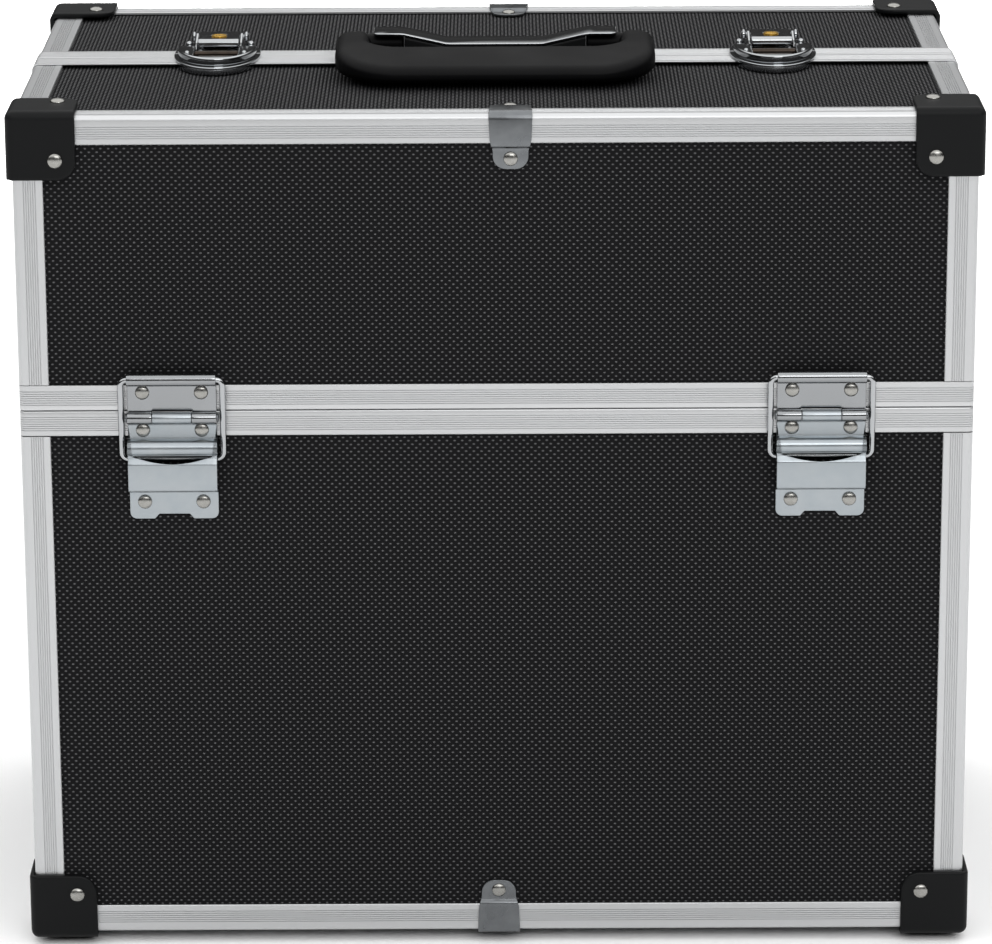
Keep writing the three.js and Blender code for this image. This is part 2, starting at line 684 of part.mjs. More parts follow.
const keeperSolid = lockKeeper();
const housingSolid = lockHousing();
const leverSolid = lockLever();
const keySolid = keyCylinder();
for (const [side, across] of [['left', -1], ['right', 1]]) {
  const place = [across * lockSpread, 0, 0];
  addMesh(`${side}_lock_keeper`, 'chrome', keeperSolid, [0, 0, 0], place);
  addMesh(`${side}_lock_housing`, 'chrome', housingSolid, [0, 0, 0], place);
  addMesh(`${side}_lock_lever`, 'chrome', leverSolid, [0, 0, 0], place);
  addMesh(`${side}_key_cylinder`, 'brass', keySolid, [0, 0, 0], place);
}

// Handle: a moulded grip whose stub axles are held down by the raised ends of a steel strap
const strapWidth = 18.5;
const strapEndClear = 1.3;
const strapEndRun = 14;
const strapSlopeRun = 21.7;
const strapSheet = 1.4;
const strapLow = 11;
const strapRise = 4.9;
const strapCentreY = -11;
const gripWidth = 154;
const gripArm = 16.7;
const gripHeel = 6;
const gripFront = -74;
const gripThickness = 13.4;
const gripClear = 0.6;
const gripFrontRadius = 30;
const gripRearRadius = 9;
const gapFront = -41;
const gapRadius = 14;
const gripBevel = 4.5;
const gripBevelSteps = 3;
const gripNoseFall = 6.5;
const axleRadius = 4.7;
const axleBearing = 11.5;
const baseStep = 1;
const gapHalf = gripWidth / 2 - gripArm;
const strapEnd = gapHalf - strapEndClear;
const strapKneeHalf = strapEnd - strapEndRun;
const strapFlatHalf = strapKneeHalf - strapSlopeRun;
const axleInner = strapEnd - axleBearing;
const baseEndHalf = strapKneeHalf - baseStep;
const strapTop = topZ + strapLow + strapRise;
const axleZ = strapTop - strapSheet - fitGap - axleRadius;

function handleStrap() {
  const low = topZ + strapLow;
  const outline = [
    [-strapEnd, strapTop], [-strapKneeHalf, strapTop], [-strapFlatHalf, low],
    [strapFlatHalf, low], [strapKneeHalf, strapTop], [strapEnd, strapTop],
  ];
  const under = outline.map(([across, high]) => [across, high - strapSheet]).reverse();
  const strip = prismY(polygon([...outline, ...under]), strapCentreY - strapWidth / 2, strapCentreY + strapWidth / 2);
  const ends = roundedRect(-strapEnd, strapCentreY - strapWidth / 2, strapEnd, strapCentreY + strapWidth / 2,
    footCornerRadius);
  return strip.intersect(prismZ(ends, topZ, strapTop + cutOverrun));
}

// The base carries the strap's flat middle and cradles both stub axles
function handleBase() {
  const foot = lockBase;
  const seat = topZ + strapLow - strapSheet - fitGap;
  const rear = strapCentreY + strapWidth / 2;
  const front = strapCentreY - strapWidth / 2;
  const cradleTop = axleZ - axleRadius - fitGap;
  const slope = strapRise / (strapKneeHalf - strapFlatHalf);
  const shoulder = seat + slope * (baseEndHalf - strapFlatHalf);
  const outline = [
    [-strapEnd, foot], [strapEnd, foot], [strapEnd, cradleTop], [baseEndHalf, cradleTop],
    [baseEndHalf, shoulder], [strapFlatHalf, seat], [-strapFlatHalf, seat], [-baseEndHalf, shoulder],
    [-baseEndHalf, cradleTop], [-strapEnd, cradleTop],
  ];
  const body = prismY(polygon(outline), front, rear);
  const toe = block([-strapFlatHalf, front, topZ - panelInset + fitGap],
    [strapFlatHalf, -(seamWidth + fitGap), seat]);
  return join(body, toe);
}

function handleGrip() {
  const inset = gripBevel;
  const half = gripWidth / 2 - inset;
  const rear = strapCentreY + gripHeel - inset;
  const front = gripFront + inset;
  const gapEnd = gapHalf + inset;
  const gapLow = gapFront - inset;
  const outer = gripFrontRadius - inset;
  const rearCorner = gripRearRadius - inset;
  const shape = new THREE.Shape();
  shape.moveTo(-half, front + outer);
  shape.absarc(-half + outer, front + outer, outer, Math.PI, 1.5 * Math.PI);
  shape.lineTo(half - outer, front);
  shape.absarc(half - outer, front + outer, outer, -Math.PI / 2, 0);
  shape.lineTo(half, rear - rearCorner);
  shape.absarc(half - rearCorner, rear - rearCorner, rearCorner, 0, Math.PI / 2);
  shape.lineTo(gapEnd, rear);
  shape.lineTo(gapEnd, gapLow + gapRadius);
  shape.absarc(gapEnd - gapRadius, gapLow + gapRadius, gapRadius, 0, -Math.PI / 2, true);
  shape.lineTo(-gapEnd + gapRadius, gapLow);
  shape.absarc(-gapEnd + gapRadius, gapLow + gapRadius, gapRadius, 1.5 * Math.PI, Math.PI, true);
  shape.lineTo(-gapEnd, rear);
  shape.lineTo(-half + rearCorner, rear);
  shape.absarc(-half + rearCorner, rear - rearCorner, rearCorner, Math.PI / 2, Math.PI);
  const geometry = new THREE.ExtrudeGeometry(shape, {
    depth: gripThickness - 2 * gripBevel,
    curveSegments: gripBevelSteps,
    bevelThickness: gripBevel,
    bevelSize: gripBevel,
    bevelSegments: gripBevelSteps,
  });
  geometry.translate(0, 0, lockBase + gripClear + gripBevel);
  const axles = [-1, 1].map((side) => {
    const ends = [side * axleInner, side * (gapHalf + gripBevel)];
    return bar('x', axleRadius, Math.min(...ends), Math.max(...ends), [strapCentreY, axleZ]);
  });
  const crest = lockBase + gripClear + gripThickness;
  const slope = polygon([
    [gapFront, crest], [gripFront - cutOverrun, crest - gripNoseFall],
    [gripFront - cutOverrun, crest + cutOverrun], [gapFront, crest + cutOverrun],
  ]);
  return join(solid(geometry).subtract(prismX(slope, -gripWidth, gripWidth)), ...axles);
}

addMesh('handle_strap', 'chrome', handleStrap());
addMesh('handle_base', 'moulding', handleBase());
addMesh('handle_grip', 'moulding', handleGrip());

export default toolCase;
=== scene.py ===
import math

import bmesh
import bpy
import numpy as np
from mathutils import Matrix, Vector


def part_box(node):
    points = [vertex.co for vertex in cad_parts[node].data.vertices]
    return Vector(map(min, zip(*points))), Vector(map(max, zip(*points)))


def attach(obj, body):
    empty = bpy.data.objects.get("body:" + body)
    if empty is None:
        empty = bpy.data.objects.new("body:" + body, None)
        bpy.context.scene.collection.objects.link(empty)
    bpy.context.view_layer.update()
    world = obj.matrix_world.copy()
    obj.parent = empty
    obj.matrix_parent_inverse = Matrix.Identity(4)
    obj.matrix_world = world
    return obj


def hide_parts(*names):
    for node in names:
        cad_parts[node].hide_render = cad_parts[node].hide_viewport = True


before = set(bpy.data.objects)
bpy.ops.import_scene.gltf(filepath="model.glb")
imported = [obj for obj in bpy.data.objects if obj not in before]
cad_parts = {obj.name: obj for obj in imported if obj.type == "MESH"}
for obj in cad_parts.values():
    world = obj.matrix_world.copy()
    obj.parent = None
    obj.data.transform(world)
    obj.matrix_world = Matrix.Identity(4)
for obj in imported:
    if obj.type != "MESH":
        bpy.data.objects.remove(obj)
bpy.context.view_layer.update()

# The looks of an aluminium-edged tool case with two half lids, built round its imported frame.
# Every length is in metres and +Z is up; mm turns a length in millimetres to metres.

mm = 0.001

# Camera and studio.
# A long lens a little above the lid looks at the front, as in a catalogue photograph: a pale floor under
# a bright ceiling, a soft box that whitens the floor behind and a weaker one above the camera.
photo_width = 992
focal_pixels = 4800.5
sensor_width = 36
camera_place = Vector((0.83, -2315.7, 874.5)) * mm
camera_pitch = math.radians(16.26)
camera_yaw = math.radians(-0.034)
camera_roll = math.radians(-0.27)


def linear(colour):
    """sRGB hex to the linear values that a shader takes."""
    channels = [int(colour[start:start + 2], 16) / 255 for start in (1, 3, 5)]
    return (*[c / 12.92 if c <= 0.04045 else ((c + 0.055) / 1.055) ** 2.4 for c in channels], 1)


def look(place, forward, roll=0.0):
    """A matrix that stands at a place and looks forward, as cameras and lights do, along its own -Z."""
    right = forward.cross(Vector((0, 0, 1))).normalized()
    up = right.cross(forward)
    turned_right = right * math.cos(roll) + up * math.sin(roll)
    turned_up = up * math.cos(roll) - right * math.sin(roll)
    matrix = Matrix((turned_right, turned_up, -forward)).transposed().to_4x4()
    matrix.translation = place
    return matrix


forward = Vector((
    math.sin(camera_yaw) * math.cos(camera_pitch),
    math.cos(camera_yaw) * math.cos(camera_pitch),
    -math.sin(camera_pitch),
))
camera_data = bpy.data.cameras.new("camera")
camera_data.sensor_fit = "HORIZONTAL"
camera_data.sensor_width = sensor_width
camera_data.lens = focal_pixels / photo_width * sensor_width
camera_data.clip_end = 20
camera = bpy.data.objects.new("camera", camera_data)
camera.matrix_world = look(camera_place, forward, camera_roll)
bpy.context.scene.collection.objects.link(camera)
bpy.context.scene.camera = camera


def soft_box(name, place, aim, width, height, power, spread=130):
    data = bpy.data.lights.new(name, "AREA")
    data.shape = "RECTANGLE"
    data.size = width
    data.size_y = height
    data.energy = power
    data.spread = math.radians(spread)
    light = bpy.data.objects.new(name, data)
    light.matrix_world = look(Vector(place), (Vector(aim) - Vector(place)).normalized())
    bpy.context.scene.collection.objects.link(light)


bpy.context.scene.view_settings.view_transform = "Standard"
case_middle = (0, 0, 0.25)
soft_box("far_light", (0, 2.7, 2.4), (0, 2.701, 0), width=3.2, height=1.4, power=50, spread=50)
soft_box("front_light", (0.7, -2.6, 1.7), case_middle, width=2.0, height=0.8, power=10)


def link(name, mesh):
    """A mesh as a new object of the scene, standing at the origin."""
    piece = bpy.data.objects.new(name, mesh)
    bpy.context.scene.collection.objects.link(piece)
    return piece


def new_material(name, colour, roughness, metallic=0.0, **sockets):
    """A material whose even values stand on the shader's own sockets."""
    material = bpy.data.materials.new(name)
    material.use_nodes = True
    shader = material.node_tree.nodes["Principled BSDF"]
    shader.inputs["Base Color"].default_value = linear(colour)
    shader.inputs["Roughness"].default_value = roughness
    shader.inputs["Metallic"].default_value = metallic
    for socket, value in sockets.items():
        shader.inputs[socket.replace("_", " ")].default_value = value
    return material, material.node_tree, shader


def add_node(tree, kind, settings=None, values=None, links=None):
    """One node with its settings, its input values and its links, each from a socket."""
    node = tree.nodes.new(kind)
    for name, value in (settings or {}).items():
        setattr(node, name, value)
    for name, value in (values or {}).items():
        node.inputs[name].default_value = value
    for name, socket in (links or {}).items():
        tree.links.new(socket, node.inputs[name])
    return node


# The room is dim at eye level and bright overhead, so the plated parts mirror a soft contrast
room_level = 0.05
room_top = 1.55
world = bpy.data.worlds.new("studio")
bpy.context.scene.world = world
world.use_nodes = True
room = world.node_tree
room_way = add_node(room, "ShaderNodeTexCoord")
room_axes = add_node(room, "ShaderNodeSeparateXYZ", links={"Vector": room_way.outputs["Generated"]})
room_light = add_node(room, "ShaderNodeMapRange", {"interpolation_type": "SMOOTHSTEP"},
                      {"From Min": 0.3, "From Max": 0.6, "To Min": room_level, "To Max": room_top},
                      {"Value": room_axes.outputs["Z"]})
# Seen straight on, the room is a plain white backdrop, so no view shows an edge behind the floor
room_ray = add_node(room, "ShaderNodeLightPath")
room_seen = add_node(room, "ShaderNodeMath", {"operation": "MAXIMUM"},
                     links={0: room_light.outputs["Result"], 1: room_ray.outputs["Is Camera Ray"]})
room.links.new(room_seen.outputs["Value"], room.nodes["Background"].inputs["Strength"])
room.nodes["Background"].inputs["Color"].default_value = linear("#ffffff")

floor_half = 6.0
floor_mesh = bpy.data.meshes.new("studio_floor")
floor_mesh.from_pydata(
    [(-floor_half, -floor_half, 0), (floor_half, -floor_half, 0), (floor_half, floor_half, 0),
     (-floor_half, floor_half, 0)], [], [(0, 1, 2, 3)])
studio_floor = link("studio_floor", floor_mesh)
painted_floor, floor_tree, floor_shader = new_material("matt_white_floor", "#ffffff", 0.9)
floor_noise = add_node(floor_tree, "ShaderNodeTexNoise", values={"Scale": 3.0, "Detail": 2.0})
floor_ramp = add_node(floor_tree, "ShaderNodeMapRange", values={"To Min": 0.86, "To Max": 0.94},
                      links={"Value": floor_noise.outputs["Fac"]})
floor_tree.links.new(floor_ramp.outputs["Result"], floor_shader.inputs["Roughness"])
floor_mesh.materials.append(painted_floor)

# Boards.
# Each wall is a thin board with a black ABS skin, vacuum-moulded with a fine grain of staggered
# domes. The boards slide into the aluminium channels before the corners are riveted on.
grain_pitch = 3.62 * mm
grain_row = 1.75 * mm
grain_rise = 0.16 * mm
dome_rise = 0.45 * mm
dome_half_width = 0.25
dome_half_height = 0.18
dome_flank_share = 0.85
round_crease = math.radians(60)
board_bake_map = "OFBake"
# Shares of the bake map's square: the face at the left, the back and the walls' strip at the right
bake_margin_share = 0.01
bake_face_share = 0.78
bake_right_share = 0.83
bake_back_share = 0.16
bake_half_share = 0.48
bake_wall_share = 0.47
bake_wall_width_share = 0.02

black_abs, abs_tree, abs_shader = new_material("vacuum_moulded_black_abs", "#141517", 0.4)
abs_place = add_node(abs_tree, "ShaderNodeTexCoord")
# The attribute counts the grain's domes: one per unit both ways, and one more between each four
abs_count = add_node(abs_tree, "ShaderNodeAttribute", {"attribute_name": "domes"})
abs_offs = []
for start in (0.5, 1.0):
    moved = add_node(abs_tree, "ShaderNodeVectorMath", {"operation": "ADD"},
                     links={0: abs_count.outputs["Vector"]})
    moved.inputs[1].default_value = (start, start, 0)
    wrapped = add_node(abs_tree, "ShaderNodeVectorMath", {"operation": "FRACTION"},
                       links={0: moved.outputs["Vector"]})
    centred = add_node(abs_tree, "ShaderNodeVectorMath", {"operation": "MULTIPLY_ADD"},
                       links={0: wrapped.outputs["Vector"]})
    centred.inputs[1].default_value = (1 / dome_half_width, 1 / dome_half_height, 0)
    centred.inputs[2].default_value = (-0.5 / dome_half_width, -0.5 / dome_half_height, 0)
    abs_offs.append(add_node(abs_tree, "ShaderNodeVectorMath", {"operation": "LENGTH"},
                             links={0: centred.outputs["Vector"]}))
abs_near = add_node(abs_tree, "ShaderNodeMath", {"operation": "MINIMUM"},
                    links={0: abs_offs[0].outputs["Value"], 1: abs_offs[1].outputs["Value"]})
abs_dome = add_node(abs_tree, "ShaderNodeMapRange", {"interpolation_type": "SMOOTHSTEP"},
                    {"From Min": 1.0, "From Max": 0.3}, {"Value": abs_near.outputs["Value"]})
abs_bump = add_node(abs_tree, "ShaderNodeBump", values={"Strength": 1.0, "Distance": dome_rise},
                    links={"Height": abs_dome.outputs["Result"]})
abs_tree.links.new(abs_bump.outputs["Normal"], abs_shader.inputs["Normal"])
# Handling leaves the skin a little uneven: broad, faint changes of sheen over some 60 mm
abs_haze = add_node(abs_tree, "ShaderNodeTexNoise", values={"Scale": 16.0, "Detail": 4.0},
                    links={"Vector": abs_place.outputs["Object"]})
abs_sheen = add_node(abs_tree, "ShaderNodeMapRange", values={"To Min": 0.34, "To Max": 0.46},
                     links={"Value": abs_haze.outputs["Fac"]})
abs_tree.links.new(abs_sheen.outputs["Result"], abs_shader.inputs["Roughness"])
abs_gloss = add_node(abs_tree, "ShaderNodeMapRange", values={"To Min": 0.0, "To Max": 0.9},
                     links={"Value": abs_dome.outputs["Result"]})
abs_tree.links.new(abs_gloss.outputs["Result"], abs_shader.inputs["Specular IOR Level"])
# The domes' crests are painted a shade lighter than the ground: a painted highlight where light from above
# catches the grain
abs_crest_highlight = add_node(abs_tree, "ShaderNodeValToRGB", links={"Fac": abs_dome.outputs["Result"]})
abs_crest_highlight.color_ramp.elements[0].color = linear("#1b1b1c")
abs_crest_highlight.color_ramp.elements[1].color = linear("#434345")
abs_tree.links.new(abs_crest_highlight.outputs["Color"], abs_shader.inputs["Base Color"])


def dome_heights(count):
    """How far each grid point stands up a dome: 1 on a crest, 0 on the ground and along the edges."""
    offs = [np.abs((count + start) % 1 - 0.5) / (dome_half_width, dome_half_height) for start in (0.5, 1.0)]
    near = np.minimum(*[np.linalg.norm(off, axis=-1) for off in offs])
    heights = np.clip((1 - near) / dome_flank_share, 0, 1)
    heights[:, [0, -1]] = heights[[0, -1]] = 0
    return heights


def grid_triangles(index):
    """Two triangles for each cell of a grid, split along every other diagonal to keep the crests whole."""
    here, right, far, ahead = index[:-1, :-1], index[:-1, 1:], index[1:, 1:], index[1:, :-1]
    row, column = np.indices(here.shape)
    even = ((column + row) % 2 == 0)[..., None]
    first = np.where(even, np.stack([here, right, ahead], -1), np.stack([here, right, far], -1))
    second = np.where(even, np.stack([right, far, ahead], -1), np.stack([here, far, ahead], -1))
    return np.concatenate([first.reshape(-1, 3), second.reshape(-1, 3)])


def grained_board(name, node, axis, side, fineness):
    """A closed board in a node's box whose outer face, along an axis to one side, carries the grain."""
    low, high = (np.array(corner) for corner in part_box(node))
    across, along = [(1, 2), (0, 2), (0, 1)][axis]
    outer, inner = (high[axis], low[axis]) if side > 0 else (low[axis], high[axis])
    columns = 2 * fineness * round((high[across] - low[across]) / grain_pitch)
    rows = 2 * fineness * round((high[along] - low[along]) / grain_row / 2)
    u, v = np.meshgrid(np.linspace(0, 1, columns + 1), np.linspace(0, 1, rows + 1))
    column, row = np.meshgrid(np.arange(columns + 1), np.arange(rows + 1))
    count = np.stack([column, row], -1) / 2 / fineness
    sunk = (1 - dome_heights(count)) * (dome_rise if fineness > 1 else grain_rise)
    front = np.zeros((u.size, 3))
    front[:, across] = (low[across] + u * (high[across] - low[across])).ravel()
    front[:, along] = (low[along] + v * (high[along] - low[along])).ravel()
    front[:, axis] = (outer - side * sunk).ravel()
    index = np.arange(u.size).reshape(rows + 1, columns + 1)
    faces = grid_triangles(index)
    rim = np.concatenate([index[0, :-1], index[:-1, -1], index[-1, :0:-1], index[:0:-1, 0]])
    back = front[rim].copy()
    back[:, axis] = inner
    behind = len(front) + np.arange(len(rim))
    next_rim, next_behind = np.roll(rim, -1), np.roll(behind, -1)
    walls = np.concatenate([np.stack([next_rim, rim, behind], -1),
                            np.stack([next_rim, behind, next_behind], -1)])
    everything = [*faces.tolist(), *walls.tolist(), behind[::-1].tolist()]
    if (side > 0) == (axis == 1):
        everything = [face[::-1] for face in everything]
    mesh = bpy.data.meshes.new(name)
    mesh.from_pydata(np.concatenate([front, back]).tolist(), [], everything)
    mesh.materials.append(black_abs)
    count = count.reshape(-1, 2)
    domes = np.zeros((len(front) + len(back), 3))
    domes[:, :2] = np.concatenate([count, count[rim]])
    mesh.attributes.new("domes", "FLOAT_VECTOR", "POINT").data.foreach_set("vector", domes.ravel())
    unwrap_board(mesh, len(faces), len(walls), across, along, low, high)
    mesh.shade_smooth()
    mesh.set_sharp_from_angle(angle=round_crease)
    return link(name, mesh)


def unwrap_board(mesh, front_count, wall_count, across, along, low, high):
    """One flat island for the grained face, one for the back and a thin strip for the walls."""
    layer = mesh.uv_layers.new(name=board_bake_map)
    loops = np.zeros(len(mesh.loops), dtype=np.int32)
    mesh.loops.foreach_get("vertex_index", loops)
    places = np.zeros(len(mesh.vertices) * 3)
    mesh.vertices.foreach_get("co", places)
    places = places.reshape(-1, 3)[loops]
    u = (places[:, across] - low[across]) / (high[across] - low[across])
    v = (places[:, along] - low[along]) / (high[along] - low[along])
    front_loops = front_count * 3
    wall_loops = wall_count * 3
    margin = bake_margin_share
    uv = np.stack([margin + bake_face_share * u, margin + (1 - 2 * margin) * v], -1)
    back = slice(front_loops + wall_loops, None)
    uv[back] = np.stack([bake_right_share + bake_back_share * u[back],
                         margin + bake_half_share * v[back]], -1)
    walls = uv[front_loops:front_loops + wall_loops]
    half = wall_count // 2
    place = np.repeat(np.arange(wall_count) % half, 3) / half
    second = np.repeat(np.arange(wall_count) >= half, 3)
    corner = np.tile(np.arange(3), wall_count)
    ahead = np.where(second, np.isin(corner, [0, 2]), corner == 0)
    behind = np.where(second, corner > 0, corner == 2)
    walls[:, 0] = bake_right_share + bake_wall_width_share * behind
    walls[:, 1] = 0.5 + margin + bake_wall_share * (place + ahead / half)
    layer.data.foreach_set("uv", uv.ravel())


boards = [
    ("body_front_board", "body_front_panel", 1, -1, "body"),
    ("body_rear_board", "body_rear_panel", 1, 1, "body"),
    ("body_left_board", "body_left_panel", 0, -1, "body"),
    ("body_right_board", "body_right_panel", 0, 1, "body"),
    ("bottom_board", "bottom_panel", 2, -1, "body"),
]
for lid, outward in (("front_lid", -1), ("rear_lid", 1)):
    boards += [
        (f"{lid}_wall_board", f"{lid}_wall_panel", 1, outward, lid),
        (f"{lid}_top_board", f"{lid}_top_panel", 2, 1, lid),
        (f"{lid}_left_board", f"{lid}_left_panel", 0, -1, lid),
        (f"{lid}_right_board", f"{lid}_right_panel", 0, 1, lid),
    ]
for name, node, axis, side, body in boards:
    board = grained_board(name, node, axis, side, 2 if (axis, side) == (2, 1) else 1)
    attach(board, body)
    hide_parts(node)

# Aluminium edge profiles.
# Angles of satin anodised aluminium, extruded with fine grooves along both faces, cover every edge of
# the boards. They are sawn square, butt together under the corner protectors and are riveted there.
profile_sheet = 1.2 * mm
profile_round = 2.5 * mm
piece_gap = 0.3 * mm
side_flange = 14.2 * mm
top_flange = 13.7 * mm
bottom_flange = 13.8 * mm
burr = 0.3 * mm
groove_pitch = 1.08 * mm
groove_width = 0.5 * mm
groove_depth = 0.36 * mm
groove_start = 5.0 * mm
plain_band = 2.4 * mm
arc_steps = 6
body_low, body_high = (np.array(corner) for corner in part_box("body_edge_frame"))
lid_low, lid_high = (np.array(corner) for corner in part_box("front_lid_edge_frame"))
half_width, half_depth = body_high[:2]
case_bottom, case_top = body_low[2], lid_high[2]

satin_aluminium, satin_tree, satin_shader = new_material(
    "satin_anodised_extruded_aluminium", "#c6c7c8", 0.42, metallic=1.0)
# The die draws hair-fine lines along the profile: noise some 0.15 mm wide and 40 mm long
satin_place = add_node(satin_tree, "ShaderNodeAttribute", {"attribute_name": "drawn"})
satin_stretch = add_node(satin_tree, "ShaderNodeMapping", values={"Scale": (6500, 25, 1)},
                         links={"Vector": satin_place.outputs["Vector"]})
satin_lines = add_node(satin_tree, "ShaderNodeTexNoise", values={"Scale": 1.0, "Detail": 3.0},
                       links={"Vector": satin_stretch.outputs["Vector"]})
satin_sheen = add_node(satin_tree, "ShaderNodeMapRange", values={"To Min": 0.38, "To Max": 0.46},
                       links={"Value": satin_lines.outputs["Fac"]})
satin_tree.links.new(satin_sheen.outputs["Result"], satin_shader.inputs["Roughness"])
satin_bump = add_node(satin_tree, "ShaderNodeBump", values={"Strength": 0.12, "Distance": 0.02 * mm},
                      links={"Height": satin_lines.outputs["Fac"]})
satin_tree.links.new(satin_bump.outputs["Normal"], satin_shader.inputs["Normal"])


def loft(rings, closed=False):
    """Points, faces and pattern places of a skin over rings of points, capped unless it closes."""
    rings = np.asarray(rings, dtype=float)
    count, sides = rings.shape[:2]
    index = np.arange(count * sides).reshape(count, sides)
    here = index if closed else index[:-1]
    there = np.roll(index, -1, axis=0) if closed else index[1:]
    quads = np.stack([here, np.roll(here, -1, 1), np.roll(there, -1, 1), there], -1)
    faces = quads.reshape(-1, 4).tolist()
    if not closed:
        faces += [index[0, ::-1].tolist(), index[-1].tolist()]
    across = np.linalg.norm(np.diff(rings[0], axis=0), axis=-1).cumsum()
    along = np.linalg.norm(np.diff(rings.mean(axis=1), axis=0), axis=-1).cumsum()
    places = np.zeros(rings.shape)
    places[:, 1:, 0] = across
    places[1:, :, 1] = along[:, None]
    return rings.reshape(-1, 3), faces, places.reshape(-1, 3)


def mesh_of(name, parts, material, angle=math.radians(38)):
    """One mesh of lofted parts, faces outward, with sharp edges where faces meet past an angle."""
    points, faces, places = [], [], []
    for part_points, part_faces, part_places in parts:
        faces += [[corner + len(points) for corner in face] for face in part_faces]
        points += part_points.tolist()
        places += part_places.tolist()
    mesh = bpy.data.meshes.new(name)
    mesh.from_pydata(points, [], faces)
    drawn = mesh.attributes.new("drawn", "FLOAT_VECTOR", "POINT")
    drawn.data.foreach_set("vector", np.array(places).ravel())
    mesh.materials.append(material)
    face_outward(mesh)
    mesh.shade_smooth()
    mesh.set_sharp_from_angle(angle=angle)
    return mesh


def face_outward(mesh):
    shell = bmesh.new()
    shell.from_mesh(mesh)
    bmesh.ops.recalc_face_normals(shell, faces=shell.faces)
    shell.to_mesh(mesh)
    shell.free()


def place_piece(name, mesh, body, slot, *nodes):
    """Links a mesh, lets it ride on a body and puts it in the place of CAD nodes."""
    piece = link(name, mesh)
    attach(piece, body)
    for node in nodes:
        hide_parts(node)
    return piece


def arc(centre, radius, start, end, steps=arc_steps):
    """Points of an arc in a plane, angles in degrees."""
    angles = np.radians(np.linspace(start, end, steps + 1))
    return [(centre[0] + radius * math.cos(a), centre[1] + radius * math.sin(a)) for a in angles]


def grooved(start, length, first, last):
    """Points (along, into) of a face with grooves between two distances."""
    points = [(start, 0)]
    for place in np.arange(first, last - groove_width, groove_pitch):
        points += [(place, 0), (place + 0.3 * groove_width, groove_depth),
                   (place + 0.7 * groove_width, groove_depth), (place + groove_width, 0)]
    return points + [(length - burr, 0), (length, burr)]


def angle_section(width_a, width_b):
    """The outline of an angle as (depth below face a, depth below face b)."""
    face_a = grooved(profile_round, width_a, groove_start, width_a - plain_band)
    face_b = grooved(profile_round, width_b, groove_start, width_b - plain_band)
    centre = (profile_round, profile_round)
    outline = [(into, along) for along, into in reversed(face_a)]
    outline += arc(centre, profile_round, 180, 270)[1:-1]
    outline += face_b
    return outline + [(width_b, profile_sheet), (profile_sheet, profile_sheet), (profile_sheet, width_a)]


def angle_member(run, start, end, face_a, face_b, width_a, width_b):
    """A straight angle along an axis; a face is (axis, side, level)."""
    rings = []
    for place in (start, end):
        ring = []
        for depth_a, depth_b in angle_section(width_a, width_b):
            point = [0.0, 0.0, 0.0]
            point[run] = place
            point[face_a[0]] = face_a[1] * (face_a[2] - depth_a)
            point[face_b[0]] = face_b[1] * (face_b[2] - depth_b)
            ring.append(point)
        rings.append(ring)
    return loft(rings)


def upright(side, end, low, high):
    return angle_member(2, low, high, (0, side, half_width), (1, end, half_depth), side_flange, side_flange)


def crossing(level, up, flange, end):
    """The angle along a front or rear edge at a height."""
    reach = half_width - side_flange - piece_gap
    return angle_member(0, -reach, reach, (1, end, half_depth), (2, up, up * level), flange, flange)


def siding(level, up, flange, side, near, far, flat):
    """The angle along a left or right edge at a height."""
    return angle_member(1, near, far, (0, side, half_width), (2, up, up * level), flange, flat)


body_members = []
for side in (-1, 1):
    for end in (-1, 1):
        body_members.append(upright(side, end, case_bottom, body_high[2]))
    reach = half_depth - side_flange - piece_gap
    body_members.append(siding(case_bottom, -1, bottom_flange, side, -reach, reach, bottom_flange))
    body_members.append(crossing(case_bottom, -1, bottom_flange, side))
place_piece("body_edge_profiles", mesh_of("body_edge_profiles", body_members, satin_aluminium),
            "body", "aluminium", "body_edge_frame")
for lid, end in (("front_lid", -1), ("rear_lid", 1)):
    near, far = sorted((end * (half_depth - side_flange - piece_gap), end * abs(lid_high[1])))
    members = [crossing(case_top, 1, top_flange, end)]
    for side in (-1, 1):
        members.append(upright(side, end, lid_low[2], case_top))
        members.append(siding(case_top, 1, top_flange, side, near, far, side_flange))
    name = f"{lid}_edge_profiles"
    place_piece(name, mesh_of(name, members, satin_aluminium), lid, "aluminium", f"{lid}_edge_frame")

# Rim and seam channels.
# Grooved aluminium channels take the boards' raw edges where the lid halves meet the body and each
# other. They are bent round the case's corners, and the seam pair stands a little proud of the top.
wall_clear = 5.3 * mm
lining_depth = 6.5 * mm
seam_proud = 0.8 * mm
seam_lip = 0.7 * mm
mouth_round = 0.7 * mm
channel_groove_start = 2.6 * mm
rim_low, rim_high = (np.array(corner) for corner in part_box("body_rim_frame"))
lid_rim_low, lid_rim_high = (np.array(corner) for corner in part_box("front_lid_rim_frame"))
seam_low, seam_high = (np.array(corner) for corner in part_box("front_lid_seam_frame"))


def channel_section(width, leg, slot, depth):
    """The outline of a channel as (depth below its face, distance from its closed side)."""
    face = grooved(mouth_round, width, channel_groove_start, width - plain_band)
    outline = [(into, along) for along, into in reversed(face)]
    outline += arc((mouth_round, mouth_round), mouth_round, 180, 270, 3)[1:]
    return outline + [(depth, 0), (depth, width), (slot, width), (slot, profile_sheet),
                      (leg, profile_sheet), (leg, width)]


def rounded_station(half, radius, degrees, quadrant, depth):
    """A point at a depth below a rounded rectangle's outline, at one turn of one of its corners."""
    turn = math.radians(degrees)
    keep = max(depth, radius)
    rest = max(radius - depth, 0)
    return (quadrant[0] * (half[0] - keep) + rest * math.cos(turn),
            quadrant[1] * (half[1] - keep) + rest * math.sin(turn))


quadrants = [(1, 1), (-1, 1), (-1, -1), (1, -1)]


def bend_stations(corners):
    """Turns of the corners that a channel is bent round, one after the other."""
    return [(90 * corner + 90 * step / arc_steps, quadrants[corner])
            for corner in corners for step in range(arc_steps + 1)]


